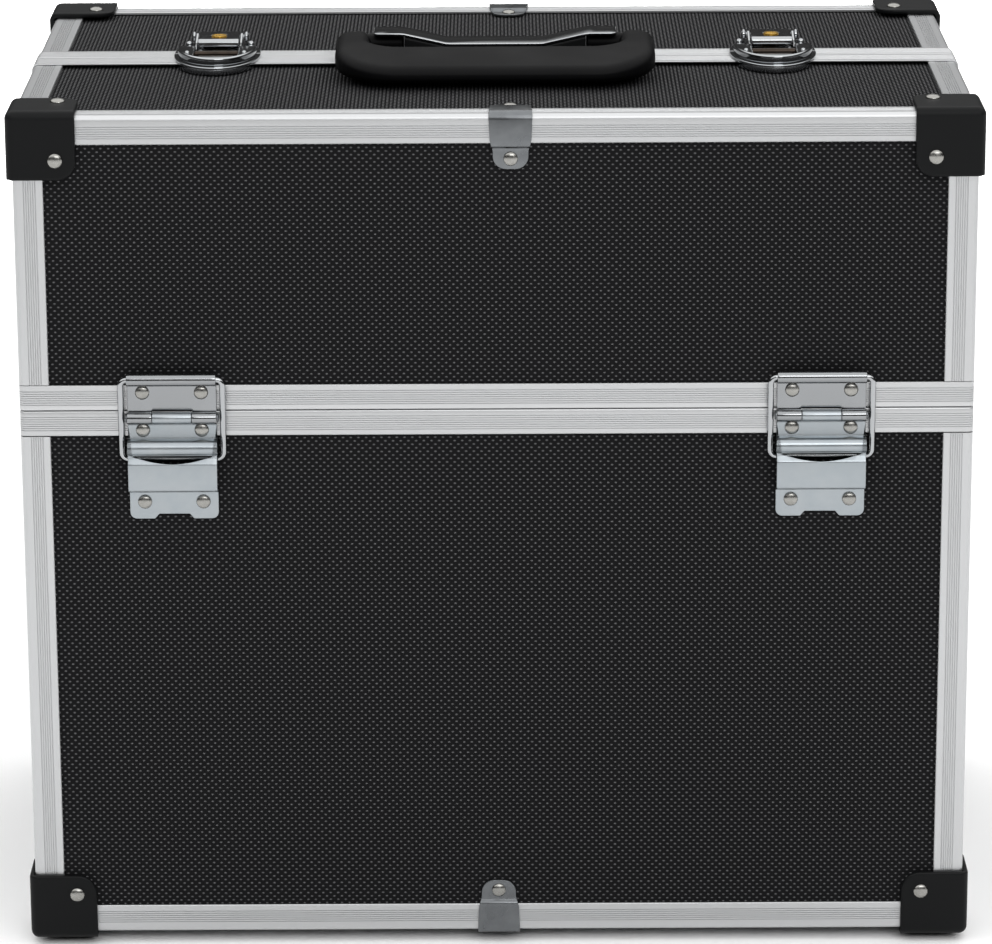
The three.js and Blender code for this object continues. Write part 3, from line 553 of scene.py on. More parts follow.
rim_section = channel_section(rim_high[2] - rim_low[2], profile_sheet, wall_clear, lining_depth)
body_rim_rings = [
    [(*rounded_station((half_width, half_depth), profile_round, degrees, quadrant, depth),
      rim_high[2] - high) for depth, high in rim_section]
    for degrees, quadrant in bend_stations([0, 1, 2, 3])
]
body_rim_mesh = mesh_of("body_rim_profile", [loft(body_rim_rings, closed=True)], satin_aluminium)
place_piece("body_rim_profile", body_rim_mesh, "body", "aluminium", "body_rim_frame")

lid_rim_section = channel_section(lid_rim_high[2] - lid_rim_low[2], profile_sheet, wall_clear, lining_depth)
seam_section = channel_section(seam_high[1] - seam_low[1], seam_lip,
                               seam_proud + wall_clear, seam_proud + lining_depth)
arch_half = (half_width + seam_proud, case_top + seam_proud)
for lid, end in (("front_lid", -1), ("rear_lid", 1)):
    rings = [[(-(half_width - depth), end * abs(lid_rim_high[1]), lid_rim_low[2] + high)
              for depth, high in lid_rim_section]]
    for degrees, quadrant in bend_stations([2, 3]):
        ring = []
        for depth, high in lid_rim_section:
            x, y = rounded_station((half_width, half_depth), profile_round, degrees, quadrant, depth)
            ring.append((x, -end * y, lid_rim_low[2] + high))
        rings.append(ring)
    rings.append([(half_width - depth, end * abs(lid_rim_high[1]), lid_rim_low[2] + high)
                  for depth, high in lid_rim_section])
    name = f"{lid}_rim_profile"
    place_piece(name, mesh_of(name, [loft(rings)], satin_aluminium), lid, "aluminium", f"{lid}_rim_frame")

    closed_side = abs(seam_high[1])
    rings = [[(arch_half[0] - depth, end * (closed_side + along), seam_low[2])
              for depth, along in seam_section]]
    for degrees, quadrant in bend_stations([0, 1]):
        ring = []
        for depth, along in seam_section:
            x, z = rounded_station(arch_half, profile_round + seam_proud, degrees, quadrant, depth)
            ring.append((x, end * (closed_side + along), z))
        rings.append(ring)
    rings.append([(-(arch_half[0] - depth), end * (closed_side + along), seam_low[2])
                  for depth, along in seam_section])
    name = f"{lid}_seam_profile"
    place_piece(name, mesh_of(name, [loft(rings)], satin_aluminium), lid, "aluminium", f"{lid}_seam_frame")

# Corner protectors.
# Eight black ABS mouldings, each three plates that meet in a rounded corner, pushed over the profiles'
# ends and riveted through. The four lower ones carry a moulded foot.
cap_leg = 30 * mm
cap_proud = 2.7 * mm
cap_lobe_round = 9 * mm
cap_outer_round = 4 * mm
cap_corner_round = 3 * mm
cap_grain = 0.55 * mm
cap_kept_share = 0.4
foot_width = 20 * mm
foot_inset = 17.5 * mm
foot_round = 3 * mm

moulded_abs, moulded_tree, moulded_shader = new_material("injection_moulded_black_abs", "#0c0d0e", 0.46)
moulded_shader.inputs["Specular IOR Level"].default_value = 0.14
moulded_place = add_node(moulded_tree, "ShaderNodeTexCoord")
# A spark-eroded mould leaves a fine matt grain of some 0.4 mm
moulded_grain = add_node(moulded_tree, "ShaderNodeTexNoise", values={"Scale": 2400.0, "Detail": 2.0},
                         links={"Vector": moulded_place.outputs["Object"]})
moulded_bump = add_node(moulded_tree, "ShaderNodeBump", values={"Strength": 0.3, "Distance": 0.03 * mm},
                        links={"Height": moulded_grain.outputs["Fac"]})
moulded_tree.links.new(moulded_bump.outputs["Normal"], moulded_shader.inputs["Normal"])
moulded_haze = add_node(moulded_tree, "ShaderNodeTexNoise", values={"Scale": 45.0, "Detail": 3.0},
                        links={"Vector": moulded_place.outputs["Object"]})
moulded_sheen = add_node(moulded_tree, "ShaderNodeMapRange", values={"To Min": 0.40, "To Max": 0.56},
                         links={"Value": moulded_haze.outputs["Fac"]})
moulded_tree.links.new(moulded_sheen.outputs["Result"], moulded_shader.inputs["Roughness"])


def rounded_outline(low, high, radii):
    """A rectangle's outline with a radius at each corner, from low x, low y round by high x."""
    (x0, y0), (x1, y1) = low, high
    corners = [(x0, y0, 1, 1, 180), (x1, y0, -1, 1, 270), (x1, y1, -1, -1, 0), (x0, y1, 1, -1, 90)]
    outline = []
    for (x, y, inward_x, inward_y, start), radius in zip(corners, radii):
        if radius == 0:
            outline.append((x, y))
            continue
        outline += arc((x + inward_x * radius, y + inward_y * radius), radius, start, start + 90)
    return outline


def slab(outline, low, high, axes=(0, 1, 2)):
    """A prism of an outline between two levels; axes tells where its x, y and level go."""
    rings = []
    for level in (low, high):
        ring = np.zeros((len(outline), 3))
        ring[:, list(axes[:2])] = outline
        ring[:, axes[2]] = level
        rings.append(ring)
    return loft(rings)


def evaluated_copy(name, mesh, modifiers):
    """The mesh that a list of modifiers, each (kind, settings), makes of a mesh."""
    maker = link(name + "_maker", mesh)
    for kind, settings in modifiers:
        modifier = maker.modifiers.new(kind.lower(), kind)
        for key, value in settings.items():
            setattr(modifier, key, value)
    made = bpy.data.meshes.new_from_object(maker.evaluated_get(bpy.context.evaluated_depsgraph_get()))
    made.name = name
    bpy.data.objects.remove(maker)
    return made


def moulded_shell(name, parts, grain, smoothing):
    """Overlapping solids melted into one moulding with soft edges."""
    return evaluated_copy(name, mesh_of(name + "_parts", parts, moulded_abs), [
        ("REMESH", {"mode": "VOXEL", "voxel_size": grain}),
        ("SMOOTH", {"factor": 0.5, "iterations": smoothing}),
    ])


def round_over(mesh, limit, radius):
    """Pushes what stands outside a rounded box, up to a limit on each axis, back onto it."""
    places = np.zeros(len(mesh.vertices) * 3)
    mesh.vertices.foreach_get("co", places)
    places = places.reshape(-1, 3)
    core = np.minimum(places, np.array(limit) - radius)
    beyond = places - core
    reach = np.linalg.norm(beyond, axis=1)
    far = reach > radius
    places[far] = core[far] + beyond[far] * (radius / reach[far])[:, None]
    mesh.vertices.foreach_set("co", places.ravel())


def protector_mesh(name, foot):
    """A protector at a corner whose faces look along +x, +y and +z, drawn from the profiles' corner."""
    low, high = (-cap_leg, -cap_leg), (cap_proud, cap_proud)
    plate = rounded_outline(low, high, (cap_lobe_round, cap_corner_round, 0, cap_corner_round))
    parts = [slab(plate, piece_gap, cap_proud, axes) for axes in ((0, 1, 2), (0, 2, 1), (1, 2, 0))]
    mesh = moulded_shell(name, parts, cap_grain, 3)
    round_over(mesh, [cap_proud] * 3, cap_outer_round)
    if foot:
        near, far = -foot_inset - foot_width / 2, -foot_inset + foot_width / 2
        sole = rounded_outline((near, near), (far, far), [foot_round] * 4)
        top_places = slab(sole, cap_proud / 2, case_bottom)
        mesh = moulded_shell(name, [top_places, part_of(mesh)], cap_grain, 2)
    return evaluated_copy(name, mesh, [("DECIMATE", {"ratio": cap_kept_share})])


def part_of(mesh):
    """A mesh as points, faces and empty pattern places."""
    places = np.zeros(len(mesh.vertices) * 3)
    mesh.vertices.foreach_get("co", places)
    faces = [list(face.vertices) for face in mesh.polygons]
    return places.reshape(-1, 3), faces, np.zeros((len(places) // 3, 3))


def standing_copy(name, mesh, turn, place, material):
    """A copy of a mesh with its axes turned or flipped and moved to its place."""
    points, faces, places = part_of(mesh)
    return mesh_of(name, [(points @ np.array(turn).T + np.array(place), faces, places)], material)


lid_cap, foot_cap = protector_mesh("lid_protector", False), protector_mesh("foot_protector", True)
for end, along in (("front", -1), ("rear", 1)):
    for side, across in (("left", -1), ("right", 1)):
        x, y = across * half_width, along * half_depth
        name = f"{end}_{side}_lid_protector"
        mesh = standing_copy(name, lid_cap, np.diag((across, along, 1)), (x, y, case_top), moulded_abs)
        place_piece(name, mesh, f"{end}_lid", "moulding", f"{end}_lid_{side}_corner")
        name = f"{end}_{side}_foot_protector"
        mesh = standing_copy(name, foot_cap, np.diag((across, along, -1)), (x, y, case_bottom), moulded_abs)
        place_piece(name, mesh, "body", "moulding", f"{end}_{side}_foot_corner")

# Rivets.
# Nickel-plated steel rivets with low domed heads hold the protectors, clips and hinges. Geometry Nodes
# set one head on each point of a body, turned along the face that it holds.
rivet_radius = 3.6 * mm
rivet_height = 1.7 * mm
small_rivet_radius = 3.4 * mm
rivet_rim_share = 0.12
rivet_foot_share = 0.15
rivet_edge_share = 0.08
rivet_lean = math.radians(2)
rivet_seed = 7
cap_rivet_inset = 20.5 * mm
hinge_spread = 153 * mm
hinge_rivet_spread = 13.85 * mm
pin_place = 266.5 * mm
upper_leaf_rivet = 12 * mm
lower_leaf_rivet = -6.3 * mm
leaf_foot_rivet = -42 * mm
leaf_face = 1.6 * mm
foot_face = 0.1 * mm
clip_sheet = 1.2 * mm
clip_offset = 7 * mm
clip_rivet_inset = 5 * mm
clip_upright_leg = 26 * mm
clip_flat_leg = 23.8 * mm
panel_inset = 1.5 * mm
clip_face = piece_gap - panel_inset + clip_sheet

nickel, nickel_tree, nickel_shader = new_material(
    "nickel_plated_rivet_steel", "#9f9e99", 0.24, metallic=1.0)
nickel_place = add_node(nickel_tree, "ShaderNodeTexCoord")
# The rolled heads keep broad tool marks of about 2 mm and a light tarnish
nickel_marks = add_node(nickel_tree, "ShaderNodeTexNoise", values={"Scale": 520.0, "Detail": 3.0},
                        links={"Vector": nickel_place.outputs["Object"]})
nickel_sheen = add_node(nickel_tree, "ShaderNodeMapRange", values={"To Min": 0.16, "To Max": 0.36},
                        links={"Value": nickel_marks.outputs["Fac"]})
nickel_tree.links.new(nickel_sheen.outputs["Result"], nickel_shader.inputs["Roughness"])
nickel_tint = add_node(nickel_tree, "ShaderNodeValToRGB", links={"Fac": nickel_marks.outputs["Fac"]})
nickel_tint.color_ramp.elements[0].color = linear("#858480")
nickel_tint.color_ramp.elements[1].color = linear("#a8a7a3")
nickel_tree.links.new(nickel_tint.outputs["Color"], nickel_shader.inputs["Base Color"])


def turned(profile, sides=24):
    """A solid of revolution about z from (radius, height) points that run from the axis to the axis."""
    rings = []
    for radius, height in profile[1:-1]:
        rings.append([(radius * math.cos(turn), radius * math.sin(turn), height)
                      for turn in np.linspace(0, 2 * math.pi, sides, endpoint=False)])
    points, faces, places = loft(rings)
    count = len(points)
    faces = faces[:-2]
    for ring, (_, height), tip in ((0, profile[0], count), (len(rings) - 1, profile[-1], count + 1)):
        points = np.vstack([points, (0, 0, height)])
        places = np.vstack([places, (0, 0, 0)])
        faces += [[ring * sides + side, ring * sides + (side + 1) % sides, tip] for side in range(sides)]
    return points, faces, places


def rivet_nodes():
    """A Geometry Nodes group that sets a scaled head on each point along its normal attribute."""
    group = bpy.data.node_groups.new("rivet_heads", "GeometryNodeTree")
    for name, kind in (("Points", "NodeSocketGeometry"), ("Head", "NodeSocketObject"),
                       ("Radius", "NodeSocketFloat"), ("Height", "NodeSocketFloat"),
                       ("Wear", "NodeSocketFloat"), ("Seed", "NodeSocketInt"),
                       ("Metal", "NodeSocketMaterial")):
        group.interface.new_socket(name, in_out="INPUT", socket_type=kind)
    group.interface.new_socket("Heads", in_out="OUTPUT", socket_type="NodeSocketGeometry")
    given = add_node(group, "NodeGroupInput")
    out_of_face = add_node(group, "GeometryNodeInputNamedAttribute", {"data_type": "FLOAT_VECTOR"},
                           {"Name": "out_of_face"})
    scale = add_node(group, "GeometryNodeInputNamedAttribute", {"data_type": "FLOAT"}, {"Name": "share"})
    stand = add_node(group, "FunctionNodeAlignRotationToVector", {"axis": "Z"},
                     links={"Vector": out_of_face.outputs["Attribute"]})
    tilt = add_node(group, "FunctionNodeRandomValue", {"data_type": "FLOAT_VECTOR"})
    group.links.new(given.outputs["Seed"], tilt.inputs["Seed"])
    lean = add_node(group, "ShaderNodeVectorMath", {"operation": "SCALE"})
    group.links.new(tilt.outputs["Value"], lean.inputs["Vector"])
    group.links.new(given.outputs["Wear"], lean.inputs["Scale"])
    leaned = add_node(group, "FunctionNodeRotateRotation", {"rotation_space": "LOCAL"},
                      links={"Rotation": stand.outputs["Rotation"], "Rotate By": lean.outputs["Vector"]})
    head = add_node(group, "GeometryNodeObjectInfo", links={"Object": given.outputs["Head"]})
    size = add_node(group, "ShaderNodeCombineXYZ", links={
        "X": given.outputs["Radius"], "Y": given.outputs["Radius"], "Z": given.outputs["Height"]})
    sized = add_node(group, "ShaderNodeVectorMath", {"operation": "SCALE"},
                     links={"Vector": size.outputs["Vector"], "Scale": scale.outputs["Attribute"]})
    heads = add_node(group, "GeometryNodeInstanceOnPoints", links={
        "Points": given.outputs["Points"], "Instance": head.outputs["Geometry"],
        "Rotation": leaned.outputs["Rotation"], "Scale": sized.outputs["Vector"]})
    real = add_node(group, "GeometryNodeRealizeInstances", links={"Geometry": heads.outputs["Instances"]})
    metal = add_node(group, "GeometryNodeSetMaterial", links={
        "Geometry": real.outputs["Geometry"], "Material": given.outputs["Metal"]})
    smooth = add_node(group, "GeometryNodeSetShadeSmooth", links={"Geometry": metal.outputs["Geometry"]})
    result = add_node(group, "NodeGroupOutput")
    group.links.new(smooth.outputs["Geometry"], result.inputs["Heads"])
    return group


def set_rivets(name, spots, body, group, head):
    """The heads of one body; a spot is (place, way out of the face, share of the full size)."""
    mesh = bpy.data.meshes.new(name + "_spots")
    mesh.from_pydata([tuple(place) for place, _, _ in spots], [], [])
    mesh.attributes.new("out_of_face", "FLOAT_VECTOR", "POINT").data.foreach_set(
        "vector", np.array([out for _, out, _ in spots], dtype=float).ravel())
    mesh.attributes.new("share", "FLOAT", "POINT").data.foreach_set(
        "value", np.array([share for _, _, share in spots], dtype=float))
    maker = link(name + "_maker", mesh)
    modifier = maker.modifiers.new("rivets", "NODES")
    modifier.node_group = group
    given = {"Head": head, "Radius": rivet_radius, "Height": rivet_height, "Wear": rivet_lean,
             "Seed": rivet_seed, "Metal": nickel}
    for item in group.interface.items_tree:
        if item.in_out == "INPUT" and item.name in given:
            modifier[item.identifier] = given[item.name]
    made = bpy.data.meshes.new_from_object(maker.evaluated_get(bpy.context.evaluated_depsgraph_get()))
    made.name = name
    bpy.data.objects.remove(maker)
    face_outward(made)
    piece = link(name, made)
    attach(piece, body)


def head_mesh():
    """A unit head: low dome, rounded rim and a sunk foot."""
    dome = [(math.cos(angle), rivet_rim_share + (1 - rivet_rim_share) * math.sin(angle))
            for angle in np.radians(range(0, 90, 12))]
    foot = [(0, -rivet_foot_share), (0.97, -rivet_foot_share), (1.0, -rivet_edge_share)]
    profile = foot + dome + [(0, 1.0)]
    return mesh_of("rivet_head", [turned(profile)], nickel, round_crease)


small_share = small_rivet_radius / rivet_radius
spots = {"body": [], "front_lid": [], "rear_lid": []}
for end, along in (("front", -1), ("rear", 1)):
    lid = f"{end}_lid"
    for across in (-1, 1):
        corner = np.array((across * half_width, along * half_depth, 0))
        for body, level, up in ((lid, case_top, 1), ("body", case_bottom, -1)):
            middle = corner + np.array((-across, -along, 0)) * cap_rivet_inset
            middle[2] = level - up * cap_rivet_inset
            for axis, sign in ((0, across), (1, along), (2, up)):
                if axis == 2 and body == "body":
                    continue
                place, out = middle.copy(), np.zeros(3)
                edge = (half_width, half_depth, up * level)[axis]
                place[axis] = sign * (edge + cap_proud)
                out[axis] = sign
                spots[body].append((place, out, 1.0))
        for spread in (-hinge_rivet_spread, hinge_rivet_spread):
            x = across * hinge_spread + spread
            for body, face, high in ((lid, leaf_face, upper_leaf_rivet),
                                     ("body", leaf_face, lower_leaf_rivet),
                                     ("body", foot_face, leaf_foot_rivet)):
                place = (x, along * (half_depth + face), pin_place + high)
                spots[body].append((place, (0, along, 0), small_share))
    for body, x, level, up in ((lid, clip_offset, case_top, 1), ("body", 0, case_bottom, -1)):
        upright_spot = (x, along * (half_depth + clip_face),
                        level - up * (clip_upright_leg - clip_rivet_inset))
        flat_spot = (x, along * (half_depth - clip_flat_leg + clip_rivet_inset), level + up * clip_face)
        spots[body] += [(upright_spot, (0, along, 0), small_share), (flat_spot, (0, 0, up), small_share)]
rivet_group = rivet_nodes()
head_object = link("rivet_head", head_mesh())
for body, places in spots.items():
    set_rivets(f"{body}_rivets", places, body, rivet_group, head_object)
bpy.data.objects.remove(head_object)

# Edge clips.
# Four cranked straps of zinc-plated steel grip the edge profiles at the middle of the long edges. Each
# is one pressed blank: wide over the profile, narrower where it steps down on to the board.
clip_width = 20.4 * mm
clip_foot_width = 16.6 * mm
clip_neck_width = 19.4 * mm
clip_end_round = 6 * mm
clip_fold_round = 1.1 * mm
clip_step_half = 3 * mm
clip_step_round = 2 * mm
clip_neck_round = 3 * mm
clip_waist_round = 8 * mm
fold_crease = math.radians(32)
sheet_edge_round = 0.22 * mm

plated_steel, plated_tree, plated_shader = new_material(
    "zinc_plated_pressed_steel", "#6f7173", 0.28, metallic=1.0)
plated_place = add_node(plated_tree, "ShaderNodeTexCoord")
# Handling leaves a soft change of sheen over some 8 mm
plated_haze = add_node(plated_tree, "ShaderNodeTexNoise", values={"Scale": 130.0, "Detail": 5.0},
                       links={"Vector": plated_place.outputs["Object"]})
plated_sheen = add_node(plated_tree, "ShaderNodeMapRange", values={"To Min": 0.20, "To Max": 0.38},
                        links={"Value": plated_haze.outputs["Fac"]})
plated_tree.links.new(plated_sheen.outputs["Result"], plated_shader.inputs["Roughness"])
plated_tint = add_node(plated_tree, "ShaderNodeValToRGB", links={"Fac": plated_haze.outputs["Fac"]})
plated_tint.color_ramp.elements[0].color = linear("#5c5e61")
plated_tint.color_ramp.elements[1].color = linear("#808385")
plated_tree.links.new(plated_tint.outputs["Color"], plated_shader.inputs["Base Color"])


def filleted(points, radii, steps=5):
    """A path or a loop's points with each corner replaced by an arc; radius 0 keeps the corner."""
    points = [np.array(point, dtype=float) for point in points]
    result = []
    for index, (corner, radius) in enumerate(zip(points, radii)):
        if not radius:
            result.append(corner)
            continue
        before = points[index - 1] - corner
        after = points[(index + 1) % len(points)] - corner
        before, after = before / np.linalg.norm(before), after / np.linalg.norm(after)
        half_turn = math.acos(np.clip(before @ after, -1, 1)) / 2
        run = radius / math.tan(half_turn)
        centre = corner + (before + after) / np.linalg.norm(before + after) * radius / math.sin(half_turn)
        start, end = corner + before * run - centre, corner + after * run - centre
        sweep = math.acos(np.clip(start @ end / radius ** 2, -1, 1))
        for step in range(steps + 1):
            share = step / steps
            result.append(centre + (math.sin((1 - share) * sweep) * start + math.sin(share * sweep) * end)
                          / math.sin(sweep))
    return result


def blank(name, outlines, sheet, edge=None, resolution=2):
    """A flat sheet in x and y cut to closed outlines, centred on z = 0, with softened edges."""
    edge = sheet_edge_round if edge is None else edge
    curve = bpy.data.curves.new(name, "CURVE")
    curve.dimensions = "2D"
    curve.fill_mode = "BOTH"
    curve.extrude = sheet / 2 - edge
    curve.bevel_depth = edge
    curve.bevel_resolution = resolution
    curve.offset = -edge
    for outline in outlines:
        spline = curve.splines.new("POLY")
        spline.points.add(len(outline) - 1)
        for point, (x, y) in zip(spline.points, outline):
            point.co = (x, y, 0, 1)
        spline.use_cyclic_u = True
    maker = bpy.data.objects.new(name, curve)
    bpy.context.scene.collection.objects.link(maker)
    shell = bmesh.new()
    shell.from_mesh(bpy.data.meshes.new_from_object(
        maker.evaluated_get(bpy.context.evaluated_depsgraph_get())))
    bmesh.ops.remove_doubles(shell, verts=shell.verts, dist=1e-7)
    bpy.data.objects.remove(maker)
    return shell


def score(shell, axis, places):
    """Cuts a flat sheet across an axis wherever it will be folded."""
    normal = [0, 0, 0]
    normal[axis] = 1
    for place in places:
        point = [0, 0, 0]
        point[axis] = place
        everything = shell.verts[:] + shell.edges[:] + shell.faces[:]
        bmesh.ops.bisect_plane(shell, geom=everything, plane_co=point, plane_no=normal, dist=1e-8)


def folded(name, shell, path, material):
    """Folds a blank along a path of (out, high) points; the blank's y runs along the path's length."""
    path = np.array(path)
    legs = np.diff(path, axis=0)
    lengths = np.linalg.norm(legs, axis=1)
    stations = np.concatenate([[0], lengths.cumsum()])
    score(shell, 1, stations[1:-1])
    normals = np.stack([legs[:, 1], -legs[:, 0]], -1) / lengths[:, None]
    mitres = np.vstack([normals[:1], normals[:-1] + normals[1:], normals[-1:]])
    mitres[1:-1] /= (1 + (normals[:-1] * normals[1:]).sum(-1))[:, None]
    points = np.array([vertex.co for vertex in shell.verts])
    run = points[:, 1]
    centre = np.stack([np.interp(run, stations, path[:, k]) for k in (0, 1)], -1)
    normal = np.stack([np.interp(run, stations, mitres[:, k]) for k in (0, 1)], -1)
    placed = centre + normal * points[:, 2:]
    for vertex, across_place, (out, high) in zip(shell.verts, points[:, 0], placed):
        vertex.co = (across_place, -out, high)
    mesh = bpy.data.meshes.new(name)
    shell.to_mesh(mesh)
    shell.free()
    mesh.attributes.new("drawn", "FLOAT_VECTOR", "POINT").data.foreach_set("vector", points.ravel())
    mesh.materials.clear()
    mesh.materials.append(material)
    face_outward(mesh)
    mesh.shade_smooth()
    mesh.set_sharp_from_angle(angle=fold_crease)
    return mesh


def path_length(path):
    return float(np.linalg.norm(np.diff(np.array(path), axis=0), axis=1).sum())


def clip_mesh(name, flange):
    """A clip on the front's upper edge, from the profiles' corner, x = 0 at its middle."""
    on_panel = piece_gap - panel_inset + clip_sheet / 2
    over = piece_gap + clip_sheet / 2
    past = flange + piece_gap + clip_sheet / 2
    corners = [(on_panel, -clip_upright_leg), (on_panel, -past - clip_sheet), (over, -past), (over, over),
               (-past, over), (-past - clip_sheet, on_panel), (-clip_flat_leg, on_panel)]
    rounds = [0, clip_fold_round, clip_fold_round, profile_round + over, clip_fold_round,
              clip_fold_round, 0]
    path = [tuple(point) for point in filleted(corners, rounds)]
    length = path_length(path)
    upright, flat = clip_upright_leg - past, clip_flat_leg - past
    foot, neck, waist = clip_foot_width / 2, clip_neck_width / 2, clip_width / 2
    step = clip_step_half
    flank_rounds = [clip_step_round, clip_neck_round, clip_waist_round, clip_neck_round, clip_step_round]
    outline = filleted(
        [(-foot, 0), (foot, 0), (foot, upright - step), (neck, upright + step), (waist, length / 2),
         (neck, length - flat - step), (foot, length - flat + step), (foot, length), (-foot, length),
         (-foot, length - flat + step), (-neck, length - flat - step), (-waist, length / 2),
         (-neck, upright + step), (-foot, upright - step)],
        ([clip_end_round] * 2 + flank_rounds) * 2)
    return folded(name, blank(name, [outline], clip_sheet), path, plated_steel)


top_clip, low_clip = clip_mesh("top_clip", top_flange), clip_mesh("low_clip", bottom_flange)
for end, along in (("front", -1), ("rear", 1)):
    name = f"{end}_lid_clip"
    place_piece(name, standing_copy(name, top_clip, np.diag((1, -along, 1)),
                                    (clip_offset, along * half_depth, case_top), plated_steel),
                f"{end}_lid", "steel", f"{end}_lid_edge_clip")
    name = f"body_{end}_clip"
    place_piece(name, standing_copy(name, low_clip, np.diag((1, -along, -1)),
                                    (0, along * half_depth, case_bottom), plated_steel),
                "body", "steel", f"body_{end}_edge_clip")

# Hinges.
# Each hinge is a plated upper leaf on the lid and a bright zinc lower leaf on the body, rolled round one
# pin. The upper leaf's free edge is curled round the lid stay, and the lower leaf is pressed into the
# channel that the stay slides in.
hinge_width = 42 * mm
hinge_sheet = 1.3 * mm
pin_out = 3.2 * mm
pin_round = 1.3 * mm
knuckle_round = 2.25 * mm
middle_knuckle = 18.4 * mm
upper_clear = 3.5 * mm
lower_clear = 3.4 * mm
curl_high = 18.7 * mm
curl_out = 3.4 * mm
curl_round = 2.45 * mm
sheet_out = 0.95 * mm
roll_round = 3.25 * mm
roll_out = 3.8 * mm
roll_high = -14.5 * mm
channel_out = 7.05 * mm
dip_out = 5.45 * mm
dip_high = -19.3 * mm
slit_half = 20.2 * mm
slit_deep = 4.6 * mm
slit_clear = 0.4 * mm
channel_high = -21.8 * mm
channel_low = -34.6 * mm
leaf_foot_out = -0.55 * mm
leaf_step_low = -36.9 * mm
leaf_low = -50.4 * mm
notch_width = 16.5 * mm
notch_depth = 2.4 * mm
notch_slope = 1 * mm
leaf_foot_round = 3.2 * mm
leaf_tip_round = 0.4 * mm
leaf_inner_round = 0.8 * mm
wire_round = 1.5 * mm
bail_width = 48 * mm
bail_bend = 3 * mm
bail_low_out = 0.95 * mm
bail_low_high = -20.3 * mm

bright_zinc, zinc_tree, zinc_shader = new_material(
    "blue_chromated_zinc_plate", "#9ca1a5", 0.3, metallic=1.0)
zinc_place = add_node(zinc_tree, "ShaderNodeTexCoord")
# Clear blue passivation varies softly over some 10 mm
zinc_haze = add_node(zinc_tree, "ShaderNodeTexNoise", values={"Scale": 95.0, "Detail": 4.0},
                     links={"Vector": zinc_place.outputs["Object"]})
zinc_tint = add_node(zinc_tree, "ShaderNodeValToRGB", links={"Fac": zinc_haze.outputs["Fac"]})
zinc_tint.color_ramp.elements[0].color = linear("#929a9f")
zinc_tint.color_ramp.elements[1].color = linear("#a9adb0")
zinc_tree.links.new(zinc_tint.outputs["Color"], zinc_shader.inputs["Base Color"])
zinc_sheen = add_node(zinc_tree, "ShaderNodeMapRange", values={"To Min": 0.24, "To Max": 0.38},
                      links={"Value": zinc_haze.outputs["Fac"]})
zinc_tree.links.new(zinc_sheen.outputs["Result"], zinc_shader.inputs["Roughness"])

bright_chrome, chrome_tree, chrome_shader = new_material(
    "bright_chrome_plate", "#a6a8aa", 0.09, metallic=1.0)
chrome_place = add_node(chrome_tree, "ShaderNodeTexCoord")
# Plating over pressed steel waves a little, some 5 mm from crest to crest
chrome_wave = add_node(chrome_tree, "ShaderNodeTexNoise", values={"Scale": 200.0, "Detail": 2.0},
                       links={"Vector": chrome_place.outputs["Object"]})
chrome_bump = add_node(chrome_tree, "ShaderNodeBump", values={"Strength": 0.15, "Distance": 0.05 * mm},
                       links={"Height": chrome_wave.outputs["Fac"]})
chrome_tree.links.new(chrome_bump.outputs["Normal"], chrome_shader.inputs["Normal"])
chrome_sheen = add_node(chrome_tree, "ShaderNodeMapRange", values={"To Min": 0.05, "To Max": 0.16},
                        links={"Value": chrome_wave.outputs["Fac"]})
chrome_tree.links.new(chrome_sheen.outputs["Result"], chrome_shader.inputs["Roughness"])

bright_nickel, leaf_tree, leaf_shader = new_material("bright_nickel_plate", "#8f9193", 0.16, metallic=1.0)
leaf_place = add_node(leaf_tree, "ShaderNodeTexCoord")
# The plated strip dulls in patches some 12 mm across
leaf_haze = add_node(leaf_tree, "ShaderNodeTexNoise", values={"Scale": 80.0, "Detail": 4.0},
                     links={"Vector": leaf_place.outputs["Object"]})
leaf_sheen = add_node(leaf_tree, "ShaderNodeMapRange", values={"To Min": 0.08, "To Max": 0.26},
                      links={"Value": leaf_haze.outputs["Fac"]})
leaf_tree.links.new(leaf_sheen.outputs["Result"], leaf_shader.inputs["Roughness"])


def upper_leaf_mesh():
    curl = arc((curl_out, curl_high), curl_round, -140, 180, 20)
    knuckle = arc((pin_out, 0), knuckle_round, 180, 465, 18)
    path = curl + knuckle
    length = path_length(path)
    bare = path_length(curl) + curl_high - upper_clear
    half, slot = hinge_width / 2, middle_knuckle / 2 + piece_gap
    outline = [(-half, 0), (half, 0), (half, length), (slot, length), (slot, bare), (-slot, bare),
               (-slot, length), (-half, length)]
    outline = filleted(outline, [0.6 * mm] * 2 + [leaf_tip_round] * 2 + [leaf_inner_round] * 2
                       + [leaf_tip_round] * 2)
    return folded("upper_leaf", blank("upper_leaf", [outline], hinge_sheet), path, bright_nickel)


